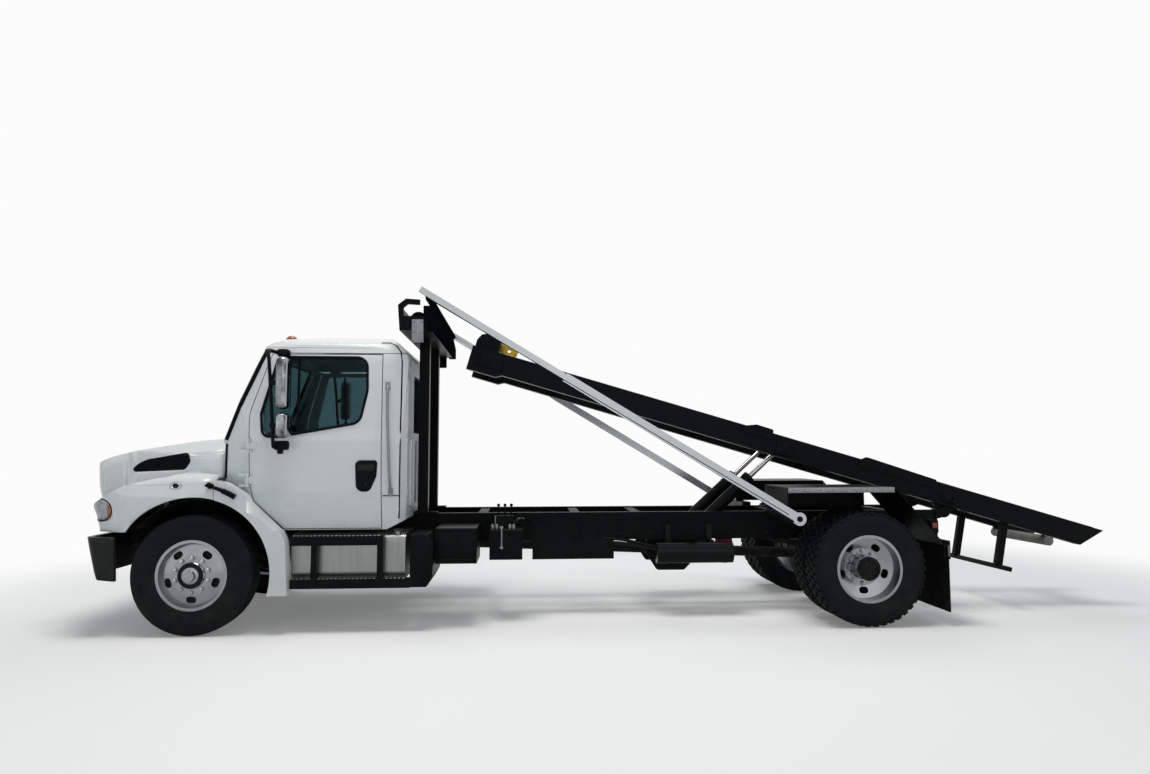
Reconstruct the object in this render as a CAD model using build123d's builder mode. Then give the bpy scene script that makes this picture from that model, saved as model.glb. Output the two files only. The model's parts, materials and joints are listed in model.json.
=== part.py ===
"""Roll-off truck: a conventional cab, a tilting hoist and swinging tarp arms."""
import os
from math import atan2, cos, degrees, hypot, radians, sin

from build123d import *

# Axes: +X to the front, +Y to the driver's side, +Z up, ground at Z = 0.
# Stations are measured from the front axle, positive to the front.
# A third number at a corner of an outline is that corner's radius.
WHEELBASE = 5842.0
BUMPER_FRONT = 950.0
CLEARANCE = 5.0
SPIN_GAP = 0.5
FAR = 4000.0
REAR = -WHEELBASE
SIDES = ((1, "left"), (-1, "right"))

# Wheels
TYRE_R = 506.0
TYRE_W = 275.0
RIM_SEAT_R = 286.0
RIM_FLANGE_R = 303.0
RIM_W = 230.0
RIM_WALL = 14.0
SHOULDER = 45.0
SIDEWALL_IN = 12.0
BEAD_H = 25.0
HAND_HOLE = (84.0, 58.0)
HAND_HOLE_CIRCLE = 205.0
HAND_HOLES = 5
FRONT_TYRE_Y = 1015.0
REAR_INNER_Y = 747.0
REAR_OUTER_Y = 1082.0
HUB_R = 112.0
DISC_T = 22.0
DISC_DISH = 30.0
DISC_FLAT_R = 165.0
SPINDLE_R = 40.0
AXLE_TUBE_R = 70.0
FRONT_DISC_Y = 1095.0
FRONT_HUB = [(HUB_R, 12), (98, 28), (60, 34), (48, 42), (46, 78)]
REAR_DISC_Y = 1035.0
REAR_HUB_FACE_Y = 1180.0
REAR_HUB_R = 90.0
TWIN_DISC_IN = 220.0
HUB_BACK = 40.0

# Steering
KINGPIN_Y = 880.0
KINGPIN_R = 22.0
KING_EYE_R = 46.0
KING_EYE_H = 120.0
EAR_T = 50.0
KNUCKLE_GAP = 10.0
KNUCKLE_T = 40.0
KNUCKLE_HALF = 60.0

# Ladder frame
RAIL_Y = 432.0
RAIL_TOP = 962.0
RAIL_H = 260.0
RAIL_FLANGE = 76.0
RAIL_T = 9.0
RAIL_FRONT = 700.0
RAIL_TAIL = 1008.0
CROSS_H = 110.0
CROSS_W = 90.0
CROSS_FRONT = (640.0, -1250.0, -2400.0, -3300.0)
CROSS_REAR = (1942.0, 542.0, -608.0)
RAIL_BOTTOM = RAIL_TOP - RAIL_H
RAIL_IN = RAIL_Y - RAIL_FLANGE
RAIL_BACK = REAR - RAIL_TAIL

# Axles and drive line, outlines from each axle
BEAM_HALF = 45.0
BEAM_TOP = 20.0
SPRING_EYE = 60.0
FRONT_SPRING = (620.0, 60.0, 90.0, 64.0)
REAR_SPRING = (760.0, 80.0, 110.0, 144.0)
SPRING_T = 44.0
REAR_SPRING_T = 84.0
DIFF_R = 200.0
DIFF_NOSE = 260.0
DIFF_BACK = 190.0
ENGINE = (-120.0, 560.0, 300.0, 640.0, 1250.0)
ENGINE_FOOT = (100.0, 200.0, 70.0)
GEARBOX = (-900.0, -120.0, 210.0, 560.0, 930.0)
SHAFT_R = 50.0
SHAFT_Z = 700.0

# Cab
CAB_WALL = 45.0
CAB_FLOOR_Z = 975.0
CAB_FLOOR_T = 40.0
CAB_BACK = -1755.0
CAB_SIDE = [
    (-185, 1185), (-185, 1590), (-150, 1640), (-487, 2472, 60), (-605, 2542, 150), (-1100, 2566, 900),
    (-1600, 2552, 160), (CAB_BACK, 2420, 120), (CAB_BACK, 947), (-1600, 868), (-720, 868),
    (-470, 1100), (-430, 1150),
]
CAB_FRONT = [
    (985, 800), (1012, 1190), (1005, 1640, 200), (985, 1740, 200), (915, 2380, 300), (860, 2500, 90),
    (640, 2572, 300),
]
CAB_PLAN = [(CAB_BACK, 930, 70), (-1690, 1020, 70), (-480, 1020, 300), (-140, 905)]
CAB_TOP = max(point[1] for point in CAB_SIDE)
ROOF_LINE = 2425.0
BACK_SPLIT = -1515.0
FRONT_SPLIT = -1000.0
TUNNEL_Y = RAIL_Y + 20.0
CAB_FEET = (-700.0, -1600.0)
CAB_FOOT = 50.0
CAB_FOOT_Y = (365.0, 425.0)
SILL_IN = 930.0
SILL_TOP = 1190.0
DOOR = [
    (-556, 2414), (-478, 2165, 300), (-392, 1875, 300), (-417, 1277, 300), (-461, 1122, 80), (-716, 882),
    (-1550, 882), (-1521, 2414),
]
DOOR_GAP = 8.0
DOOR_DEEP = 700.0
DOOR_OPEN = 70.0
DOOR_WINDOW = [
    (-500, 1880, 60), (-520, 1690, 60), (-640, 1684, 60), (-1330, 1806, 90), (-1388, 2080, 300),
    (-1380, 2379, 90), (-618, 2379, 50),
]
DOOR_HINGE = (-396.0, 1012.0)
DOOR_HINGE_Z = (1300.0, 1600.0)
HINGE_PIN_R = 10.0
HINGE_EYE_R = 18.0
HINGE_EYE_H = 60.0
HINGE_LUG_H = 25.0
HINGE_LEAF = 70.0
HINGE_LEAF_T = 14.0
HINGE_ROOT_Y = 950.0
GLASS_T = 8.0
GLASS_IN = 14.0
SCREEN = [(800, 1700), (720, 2410)]
SCREEN_X = (-700.0, 100.0)
REAR_GLASS = (520.0, 1720.0, 2260.0)
RIB = (12.0, 44.0, 1060.0, 1650.0)
RIB_PITCH = 170.0
RIBS = 9
ROOF_LAMP = [(-578, 2500), (-592, 2588, 18), (-680, 2592, 18), (-689, 2500)]
ROOF_LAMP_Y = (-640.0, -220.0, 0.0, 220.0, 640.0)
ROOF_LAMP_HALF = 42.0
GRAB_X = -1599.0
GRAB_ENDS = ((1057.0, 1190.0), (986.0, 2140.0))
GRAB_R = 12.0
GRAB_FOOT = 90.0

# Hood with the front fenders
HOOD_WALL = 28.0
HOOD_REAR = -165.0
HOOD_BOTTOM = 872.0
HOOD_SIDE = [
    (HOOD_REAR, 1560), (HOOD_REAR + 45, 1668), (100, 1652, 900), (480, 1578, 1500), (780, 1492, 900),
    (935, 1405, 90), (940, 1000),
]
HOOD_FRONT = [(900, 800), (895, 1330, 150), (850, 1520, 150), (700, 1650, 150), (480, 1700)]
HOOD_PLAN = [(-240, 900), (600, 800, 700), (850, 730, 120), (942, 560, 150)]
FENDER_SIDE = [
    (HOOD_REAR, 1345), (150, 1368, 500), (500, 1272, 500), (780, 1110, 200), (872, 990, 120), (872, 930),
]
FENDER_FRONT = [(1160, 780), (1160, 1160, 120), (1105, 1310, 120), (860, 1420)]
FENDER_PLAN = [(-240, 1130), (20, 1160, 300), (560, 1155, 200), (810, 1020, 120), (890, 700)]
ARCH_R = 655.0
ARCH_IN = 560.0
HOOD_HINGE = (925.0, 853.0)
HOOD_PIN_R = 8.0
HOOD_LUG_R = 14.0
HOOD_LUG_UP = 20.0
HOOD_LUG_Y = (300.0, 330.0)
HOOD_EAR_Y = (335.0, 360.0)
LAMP = (752.0, 1056.0, 115.0, 92.0)
LAMP_IN = 700.0
GRILLE_X = 800.0
GRILLE_Y = 430.0
GRILLE_Z = (935.0, 1330.0)
GRILLE_EDGE = 24.0
GRILLE_SLOTS = 8
GRILLE_DEEP = 16.0
VENT = [(606, 1368, 24), (520, 1474, 200), (170, 1546, 45), (146, 1460, 40), (192, 1388, 45)]
VENT_IN = 600.0
VENT_EDGE = 14.0
VENT_SLOTS = 7
SLOT_SHARE = 0.6
QUARTER_FRONT = -175.0
QUARTER_LOW = 330.0
QUARTER = [
    (QUARTER_FRONT, 1300), (-260, 1285, 150), (-470, 1150, 200), (-700, 930, 200), (-775, 780, 200),
    (-800, QUARTER_LOW), (-300, QUARTER_LOW), (QUARTER_FRONT, 800),
]
QUARTER_Y = (1026.0, 1155.0)
LINER_T = 14.0

# Bumper
BUMPER_TOP = 832.0
BUMPER_BACK = 640.0
BUMPER_SIDE = [
    (BUMPER_FRONT, 740, 20), (BUMPER_FRONT, 800, 12), (925, BUMPER_TOP, 12), (BUMPER_BACK, BUMPER_TOP),
    (BUMPER_BACK, 465), (840, 480, 25),
]
BUMPER_PLAN = [(BUMPER_BACK, 1150), (855, 1150, 70), (905, 1080, 90), (BUMPER_FRONT, 430, 600)]
BUMPER_T = 40.0
BUMPER_LEAN = 60.0
BUMPER_ARM = (890.0, 330.0, 420.0, 812.0)

# Seats and dashboard
SEAT_Y = 460.0
SEAT_W = 500.0
SEAT_X = (-1600.0, -1480.0, -980.0)
SEAT_TOP = 1420.0
SEAT_BACK_TOP = 2020.0
DASH = [(-230, 1400), (-230, 1600), (-300, 1640), (-520, 1600), (-500, 1400)]
DASH_Y = 850.0
STEER_AT = (-700.0, 1640.0)
STEER_LEAN = (-0.75, 0, 0.66)
STEER_R = 225.0
STEER_GRIP = 30.0
STEER_SPOKE = 40.0
STEER_T = 24.0
COLUMN = (-400.0, 1500.0)
COLUMN_R = 30.0

# Side equipment
TANK_X = (-1764.0, -789.0)
TANK_Y = 1000.0
TANK_Z = (440.0, 832.0)
TANK_ROUND = 70.0
FILLER_X = -1692.0
FILLER_R = 42.0
FILLER_REACH = 98.0
FILLER_LEAN = 12.0
STEP_X = (-1816.0, -805.0)
STEP_Y = (TANK_Y, 1085.0)
STEP_ROWS = ((740.0, 820.0), (375.0, 455.0))
STEP_STRAPS = (-1000.0, -1560.0)
STEP_STRAP_W = 50.0
END_BOX = [
    (-1816, 825), (-1950, 825, 20), (-2010, 760, 20), (-2010, 470, 20), (-1960, 380, 20), (-1816, 380),
]
TOOL_BOX = (-2384.0, -2020.0, 985.0, 561.0, 871.0)
OIL_TANK = (-2785.0, -2485.0, 752.0, 560.0, 832.0)
BOX_EDGE = 10.0
VALVE = (-2700.0, -2540.0, 110.0, 842.0, 942.0)
LEVERS = (-2680.0, -2620.0, -2560.0)
LEVER_R = 7.0
LEVER_LEAN = (60.0, 100.0)
LEVER_KNOB = 15.0
AIR_TANK = (1068.0, 1794.0, 560.0, 590.0, 100.0)
AIR_STRAPS = (1662.0, 1262.0)
AIR_STRAP = (25.0, 30.0, 20.0, 10.0)
AIR_HANGER_TOP = 842.0

# Tarp gantry, from the cab's back and the roof
POST_X = (CAB_BACK - 135.0, CAB_BACK - 40.0)
POST_Y = (362.0, 458.0)
POST_FOOT = (90.0, 16.0)
TRAY_Z = CAB_TOP + 52.0
TRAY_T = 22.0
TRAY_X = (CAB_BACK - 220.0, CAB_BACK + 55.0)
TRAY_Y = 1050.0
TRAY_LIP = 130.0
TRAY_END = 30.0
TRAY_BACK = [(65, 0), (82, 230), (65, 230), (47, 0)]
BRACKET = [
    (65, 22), (82, 230, 30), (12, 286, 30), (-112, 278), (-112, 232), (-5, 238, 20), (33, 204, 15), (19, 22),
]
MOTOR = (-150.0, -45.0, -108.0, 127.0)
MOTOR_T = 30.0
ROLL_R = 78.0
ROLL_X = CAB_BACK - 95.0

# Tarp arms, from the outriggers to a place above the tray
ARM_PIVOT = (REAR + 639.0, 951.0)
ARM_TIP = (CAB_BACK - 139.0, TRAY_Z + 333.0)
ARM_LEN = hypot(ARM_TIP[0] - ARM_PIVOT[0], ARM_TIP[1] - ARM_PIVOT[1])
ARM_ANGLE = degrees(atan2(ARM_TIP[1] - ARM_PIVOT[1], ARM_TIP[0] - ARM_PIVOT[0]))
ARM_KNEE = 0.62 * ARM_LEN
ARM_Y = 1232.0
ARM_W = 44.0
ARM_DEEP = 76.0
ARM_SLIM = 54.0
ARM_EYE_R = 58.0
ARM_PIN_R = 25.0
BOW_R = 24.0
OUTRIGGER = 92.0
OUTRIGGER_END = ARM_Y - ARM_W / 2 - 6.0

# Rear fenders, from the rear axle
GUARD_X = (REAR - 248.0, REAR + 728.0)
GUARD_TOP = 1222.0
GUARD_T = 10.0
GUARD_Y = (530.0, 1200.0)
GUARD_LIP = 150.0
GUARD_SKIRT = 1010.0
GUARD_TAIL = (REAR - 682.0, 722.0)
GUARD_TAIL_T = 14.0
GUARD_POST = (120.0, 40.0)
STAY_R = 26.0
FLAP_T = 12.0
FLAP_BOTTOM = 125.0
TAIL_LAMP = (REAR - 928.0, REAR - 858.0, 640.0, 760.0, 880.0)

# Hoist, along and above its pivot
PIVOT = (RAIL_BACK - 100.0, RAIL_TOP - 2.0)
TILT = 16.2
NOSE_GAP = 149.0
HOIST_NOSE = POST_X[0] - NOSE_GAP - PIVOT[0]
HOIST_TOP = 248.0
HOIST_RAIL_H = 203.0
HOIST_RAIL_Y = 457.0
HOIST_RAIL_W = 102.0
HOIST_WALL = 10.0
HOIST_LOW = HOIST_TOP - HOIST_RAIL_H
HOIST_IN = HOIST_RAIL_Y - HOIST_RAIL_W
SHOE = [(-351, HOIST_LOW), (0, HOIST_LOW), (0, 12), (-291, 12)]
HOIST_TAIL = 1606.0
TAIL_CUT = 200.0
RAIL_GUIDES = [
    [(1860, 180), (1867, 283, 20), (2042, 286, 20), (2173, 236), (2173, 180)],
    [(168, 180), (168, 262, 15), (905, 284, 30), (965, 240), (965, 180)],
]
GUIDE_T = 14.0
HOIST_CROSS = (-1150.0, -500.0, 600.0, 1250.0)
NOSE_CROSS = (131.0, 861.0, 1661.0, 2461.0)
HOIST_CROSS_W = 110.0
HOIST_CROSS_H = 120.0
HOIST_CROSS_DOWN = 20.0
PIVOT_PIN_R = 32.0
LUG_R = 75.0
LUG_ROOT = 135.0
LUG_Y = (372.0, 412.0)
CHEEK_T = 25.0
CHEEK = [(0, -90), (0, 0), (-100, 38), (-145, -2), (-100, -62)]
END_PLATE = (14.0, 335.0, 445.0)
WINCH = [(-239, 228), (-6, 228), (-6, 330, 15), (-36, 393, 15), (-171, 455, 20), (-239, 433, 20)]
WINCH_Y = 300.0
SHEAVE_R = 88.0
SHEAVE_V = 340.0
SHEAVE_Y = 50.0
SHEAVE_BORE = 20.0
SHEAVE_GROOVE = (16.0, 22.0)
SHANK_H = 44.0
GUARD_BAR_AT = (-678.0, -386.0)
GUARD_BAR_POST = (70.0, 40.0, 362.0, 412.0)
GUARD_BAR_Y = 590.0
GUARD_BAR = 45.0
ROLLER_U = -1085.0
ROLLER_R = 48.0
ROLLER_ARM = (20.0, 10.0, 30.0)

# Tilt cylinders
CYL_Y = 290.0
BARREL_R = 59.0
ROD_R = 24.0
BARREL_LEN = 1160.0
BARREL_START = (30.0, 60.0, 70.0)
CYL_BASE = (PIVOT[0] + 2790.0, 500.0)
CYL_PIN = (1723.0, 125.0)
CYL_EYE_R = 44.0
CYL_EYE_W = 56.0
CYL_PIN_R = 20.0
BRACKET_PLATE = [
    (180, RAIL_BOTTOM), (180, 560, 40), (75, 400, 40), (-190, 400, 40), (-260, 470, 40), (-320, RAIL_BOTTOM),
]
BRACKET_Y = (RAIL_IN, 378.0)
BRACKET_FLANGE = 12.0
RESERVOIR = (500.0, 1280.0, 520.0)

# Mirrors
MIRROR_Y = 1215.0
MIRROR_ARM_R = 16.0
MIRROR_POST = ((-640.0, 2360.0), (-672.0, 1570.0))
MIRROR_FOOT = 20.0
MIRROR_FOOT_Y = 900.0
MIRROR_HEADS = ((-787.0, -690.0, 1908.0, 2354.0), (-794.0, -700.0, 1661.0, 1876.0))
MIRROR_HEAD_Y = (1130.0, 1290.0)
MIRROR_ROUND = 30.0

# The origin lies half way between the bumper and the hoist's tail
TAIL_TIP = PIVOT[0] - HOIST_TAIL * cos(radians(TILT)) - HOIST_TOP * sin(radians(TILT))
FRONT_AXLE_X = -(TAIL_TIP + BUMPER_FRONT) / 2
REAR_AXLE_X = FRONT_AXLE_X + REAR


def at(points, x=0.0, z=0.0):
    """Move stations to the part's own origin, from the front axle or from a place named."""
    return [(FRONT_AXLE_X + x + point[0], z + point[1], *point[2:]) for point in points]


def outline(points, inset=0.0):
    """A closed outline; a third number at a corner is its radius."""
    with BuildSketch() as flat:
        with BuildLine():
            Polyline([point[:2] for point in points], close=True)
        make_face()
        for point in points:
            if len(point) > 2:
                corner = flat.vertices().sort_by_distance((point[0], point[1], 0))[0]
                fillet(corner, point[2])
        if inset:
            offset(amount=-inset, kind=Kind.INTERSECTION, mode=Mode.REPLACE)
    return flat.sketch


def turned_at(pivot, angle, points):
    """Place points given along and above a pivot, at that piece's angle."""
    turn = radians(angle)
    placed = []
    for u, v, *bend in points:
        x = FRONT_AXLE_X + pivot[0] + u * cos(turn) - v * sin(turn)
        placed.append((x, pivot[1] + u * sin(turn) + v * cos(turn), *bend))
    return placed


def tilted(*points):
    """Place points of the hoist at its rest tilt."""
    return turned_at(PIVOT, TILT, points)


def on_arm(*points):
    """Place points of a tarp arm at rest."""
    return turned_at(ARM_PIVOT, ARM_ANGLE, points)


def rectangle(u0, u1, v0, v1):
    """The four corners of a rectangle."""
    return (u0, v0), (u1, v0), (u1, v1), (u0, v1)


def block(x0, x1, y0, y1, z0, z1, mode=Mode.ADD):
    """A box between two corners."""
    with Locations(((x0 + x1) / 2, (y0 + y1) / 2, (z0 + z1) / 2)):
        Box(abs(x1 - x0), abs(y1 - y0), abs(z1 - z0), mode=mode)


def station_block(x0, x1, y0, y1, z0, z1, mode=Mode.ADD):
    """A box whose X is given in stations from the front axle."""
    block(FRONT_AXLE_X + x0, FRONT_AXLE_X + x1, y0, y1, z0, z1, mode)


def side_prism(points, y0, y1, mode=Mode.ADD, inset=0.0):
    """Push a profile in X and Z across the truck, from y0 to y1."""
    plane = Plane(origin=(0, max(y0, y1), 0), x_dir=(1, 0, 0), z_dir=(0, -1, 0))
    with BuildSketch(plane) as face:
        add(outline(points, inset))
    extrude(face.sketch, amount=abs(y1 - y0), mode=mode)


def front_prism(half, x0, x1, mode=Mode.ADD, inset=0.0):
    """Push a symmetric profile in Y and Z along the truck, from x0 to x1."""
    points = half + [(-point[0], *point[1:]) for point in reversed(half)]
    with BuildSketch(Plane(origin=(x0, 0, 0), x_dir=(0, 1, 0), z_dir=(1, 0, 0))) as face:
        add(outline(points, inset))
    extrude(face.sketch, amount=x1 - x0, mode=mode)


def plan_prism(half, z0, z1, mode=Mode.ADD, inset=0.0):
    """Push a symmetric profile in X and Y upwards, from z0 to z1."""
    points = half + [(point[0], -point[1], *point[2:]) for point in reversed(half)]
    with BuildSketch(Plane.XY.offset(z0)) as face:
        add(outline(points, inset))
    extrude(face.sketch, amount=z1 - z0, mode=mode)


def plan_at(half):
    """Move an outline seen from above to the part's own origin."""
    return [(FRONT_AXLE_X + point[0], *point[1:]) for point in half]


def bar(start, end, radius, mode=Mode.ADD):
    """A round bar between two points."""
    way = Vector(*end) - Vector(*start)
    with BuildSketch(Plane(origin=start, z_dir=way)) as face:
        Circle(radius)
    extrude(face.sketch, amount=way.length, mode=mode)


def cross_bar(x, z, y0, y1, radius, mode=Mode.ADD):
    """A round bar across the truck."""
    bar((x, min(y0, y1), z), (x, max(y0, y1), z), radius, mode)


def save(part, name):
    """Name a finished piece and write its file."""
    part.label = name
    export_step(part, "parts/" + name + ".step")


def cab_solid(inset):
    """The cab's outside, or its inside at a given wall."""
    with BuildPart() as solid:
        side_prism(at(CAB_SIDE), -FAR, FAR, inset=inset)
        front_prism(CAB_FRONT, FRONT_AXLE_X - FAR, FRONT_AXLE_X + FAR, Mode.INTERSECT, inset)
        plan_prism(plan_at(CAB_PLAN), 0, FAR, Mode.INTERSECT, inset)
    return solid.part


def body_form(side, front, plan, inset):
    """A form cut from three outlines; an inset form runs out below and behind."""
    low = HOOD_BOTTOM - 3 * inset
    rear = HOOD_REAR - 3 * inset
    closed = side + [(side[-1][0], low), (rear, low)]
    if inset:
        closed = [(rear, side[0][1])] + closed
    with BuildPart() as solid:
        side_prism(at(closed), -FAR, FAR, inset=inset)
        front_prism(front, FRONT_AXLE_X - FAR, FRONT_AXLE_X + FAR, Mode.INTERSECT, inset)
        plan_prism(plan_at(plan), 0, FAR, Mode.INTERSECT, inset)
    return solid.part


def hood_solid(inset):
    """The hood and fenders' outside, or their inside at a given wall."""
    with BuildPart() as solid:
        add(body_form(HOOD_SIDE, HOOD_FRONT, HOOD_PLAN, inset))
        add(body_form(FENDER_SIDE, FENDER_FRONT, FENDER_PLAN, inset))
    return solid.part


def door_swing(side):
    """The space that a door's front edge sweeps below its lower hinge, with its clearance."""
    x = FRONT_AXLE_X + DOOR_HINGE[0]
    y = side * DOOR_HINGE[1]
    with BuildPart() as swing:
        with BuildSketch(Plane(origin=(0, y, 0), x_dir=(1, 0, 0), z_dir=(0, -1, 0))) as face:
            add(outline(at(DOOR), -CLEARANCE))
            with Locations((x - FAR / 2, DOOR_HINGE_Z[0] - FAR / 2)):
                Rectangle(FAR - 2 * CLEARANCE, FAR, mode=Mode.INTERSECT)
        revolve(face.sketch, Axis((x, y, 0), (0, 0, -side)), DOOR_OPEN)
    return swing.part


os.makedirs("parts", exist_ok=True)

# Ladder frame: two channels and their cross members
with BuildPart() as ladder_frame:
    for side, _ in SIDES:
        outer = side * RAIL_Y
        web = side * (RAIL_Y - RAIL_T)
        inner = side * RAIL_IN
        station_block(RAIL_BACK, RAIL_FRONT, web, outer, RAIL_BOTTOM, RAIL_TOP)
        station_block(RAIL_BACK, RAIL_FRONT, inner, web, RAIL_TOP - RAIL_T, RAIL_TOP)
        station_block(RAIL_BACK, RAIL_FRONT, inner, web, RAIL_BOTTOM, RAIL_BOTTOM + RAIL_T)
    for station in CROSS_FRONT + tuple(REAR + x for x in CROSS_REAR):
        half = CROSS_W / 2
        reach = RAIL_Y - RAIL_T
        top = RAIL_TOP - RAIL_T
        station_block(station - half, station + half, -reach, reach, top - CROSS_H, top)
save(ladder_frame.part, "ladder_frame")

# Bumper, held on the rail ends, with the ears of the hood's hinge
hinge_x, hinge_z = HOOD_HINGE
with BuildPart() as bumper:
    side_prism(at(BUMPER_SIDE), -FAR, FAR)
    plan_prism(plan_at(BUMPER_PLAN), 0, FAR, Mode.INTERSECT)
    with BuildPart(mode=Mode.SUBTRACT) as hollow:
        face_x = BUMPER_FRONT - BUMPER_T
        lean = [(face_x, FAR), (-FAR, FAR), (-FAR, 0), (face_x - BUMPER_LEAN, 0)]
        side_prism(at(lean), -FAR, FAR)
        shell = [(point[0] - BUMPER_T, point[1] - BUMPER_T, *point[2:]) for point in BUMPER_PLAN]
        shell[0] = (-FAR, shell[0][1])
        plan_prism(plan_at(shell), -FAR, FAR, Mode.INTERSECT)
    arm_x, arm_y0, arm_y1, arm_top = BUMPER_ARM
    for side, _ in SIDES:
        station_block(RAIL_FRONT, arm_x, side * arm_y0, side * arm_y1, RAIL_BOTTOM, arm_top)
        ear0 = side * HOOD_EAR_Y[0]
        ear1 = side * HOOD_EAR_Y[1]
        station_block(hinge_x - HOOD_LUG_R, hinge_x, ear0, ear1, BUMPER_TOP, hinge_z)
        cross_bar(FRONT_AXLE_X + hinge_x, hinge_z, ear0, ear1, HOOD_LUG_R)
        cross_bar(FRONT_AXLE_X + hinge_x, hinge_z, side * HOOD_LUG_Y[0], ear1, HOOD_PIN_R)
save(bumper.part, "bumper")

# Cab shell: outside less inside, opened for the doors and the glass, then split into panels
cab_outer = cab_solid(0)
cab_inner = cab_solid(CAB_WALL)
glass_outer = cab_solid(GLASS_IN)
glass_inner = cab_solid(GLASS_IN + GLASS_T)
screen_x = [FRONT_AXLE_X + x for x in SCREEN_X]
rear_y, rear_z0, rear_z1 = REAR_GLASS
floor_top = CAB_FLOOR_Z + CAB_FLOOR_T


def door_space(side, outline_points, inset=0.0):
    """The room of a door, outside the sill and above it."""
    with BuildPart() as space:
        side_prism(at(outline_points), side * DOOR_DEEP, side * FAR, inset=inset)
        station_block(-FAR, FAR, 0, side * (SILL_IN + inset), 0, SILL_TOP + inset, Mode.SUBTRACT)
    return space.part


with BuildPart() as cab_shell:
    add(cab_outer)
    with BuildPart(mode=Mode.SUBTRACT) as cab_room:
        add(cab_inner)
        station_block(-FAR, FAR, -FAR, FAR, 0, floor_top, Mode.SUBTRACT)
    station_block(-FAR, FAR, -TUNNEL_Y, TUNNEL_Y, 0, CAB_FLOOR_Z, Mode.SUBTRACT)
    front_prism(SCREEN, screen_x[0], screen_x[1], Mode.SUBTRACT)
    station_block(-FAR, CAB_BACK + 4 * CAB_WALL, -rear_y, rear_y, rear_z0, rear_z1, Mode.SUBTRACT)
    for side, _ in SIDES:
        add(door_space(side, DOOR, -DOOR_GAP), mode=Mode.SUBTRACT)

with BuildPart() as cab_roof:
    add(cab_shell.part)
    station_block(-FAR, FAR, -FAR, FAR, ROOF_LINE, FAR, Mode.INTERSECT)
save(cab_roof.part, "cab_roof")

with BuildPart() as cab_back:
    add(cab_shell.part)
    station_block(-FAR, BACK_SPLIT, -FAR, FAR, floor_top, ROOF_LINE, Mode.INTERSECT)
    rib_t, rib_w, rib_low, rib_high = RIB
    for n in range(RIBS):
        y = (n - (RIBS - 1) / 2) * RIB_PITCH
        station_block(CAB_BACK - rib_t, CAB_BACK + rib_t, y - rib_w / 2, y + rib_w / 2, rib_low, rib_high)
save(cab_back.part, "cab_back")

with BuildPart() as roof_lamps:
    for y in ROOF_LAMP_Y:
        side_prism(at(ROOF_LAMP), y - ROOF_LAMP_HALF, y + ROOF_LAMP_HALF)
    add(cab_outer, mode=Mode.SUBTRACT)
save(roof_lamps.part, "roof_lamps")

with BuildPart() as grab_bars:
    for side, _ in SIDES:
        ends = [(FRONT_AXLE_X + GRAB_X, side * y, z) for y, z in GRAB_ENDS]
        bar(ends[0], ends[1], GRAB_R)
        for x, y, z in ends:
            bar((x, y, z), (x, y - side * GRAB_FOOT, z), GRAB_R)
            with Locations((x, y, z)):
                Sphere(GRAB_R)
    add(cab_outer, mode=Mode.SUBTRACT)
save(grab_bars.part, "grab_bars")

with BuildPart() as cab_front:
    add(cab_shell.part)
    station_block(FRONT_SPLIT, FAR, -FAR, FAR, floor_top, ROOF_LINE, Mode.INTERSECT)
    for side, _ in SIDES:
        for z in DOOR_HINGE_Z:
            x = FRONT_AXLE_X + DOOR_HINGE[0]
            y = side * DOOR_HINGE[1]
            inner = HINGE_EYE_H / 2 + CLEARANCE
            outer = inner + HINGE_LUG_H
            for low, high in ((z - outer, z - inner), (z + inner, z + outer)):
                block(x, x + HINGE_LEAF, side * HINGE_ROOT_Y, y, low, high)
                bar((x, y, low), (x, y, high), HINGE_EYE_R)
            bar((x, y, z - outer), (x, y, z + outer), HINGE_PIN_R)
save(cab_front.part, "cab_front")

with BuildPart() as cab_floor:
    add(cab_shell.part)
    station_block(-FAR, FAR, -FAR, FAR, 0, floor_top, Mode.INTERSECT)
    for side, _ in SIDES:
        for station in CAB_FEET:
            y0 = side * CAB_FOOT_Y[0]
            y1 = side * CAB_FOOT_Y[1]
            station_block(station - CAB_FOOT, station + CAB_FOOT, y0, y1, RAIL_TOP, CAB_FLOOR_Z)
save(cab_floor.part, "cab_floor")

with BuildPart() as cab_glass:
    with BuildPart() as screen:
        add(glass_outer)
        add(glass_inner, mode=Mode.SUBTRACT)
        front_prism(SCREEN, screen_x[0], screen_x[1], Mode.INTERSECT)
    pane_x = CAB_BACK + GLASS_IN
    station_block(pane_x, pane_x + GLASS_T, -rear_y, rear_y, rear_z0, rear_z1)
save(cab_glass.part, "cab_glass")

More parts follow.
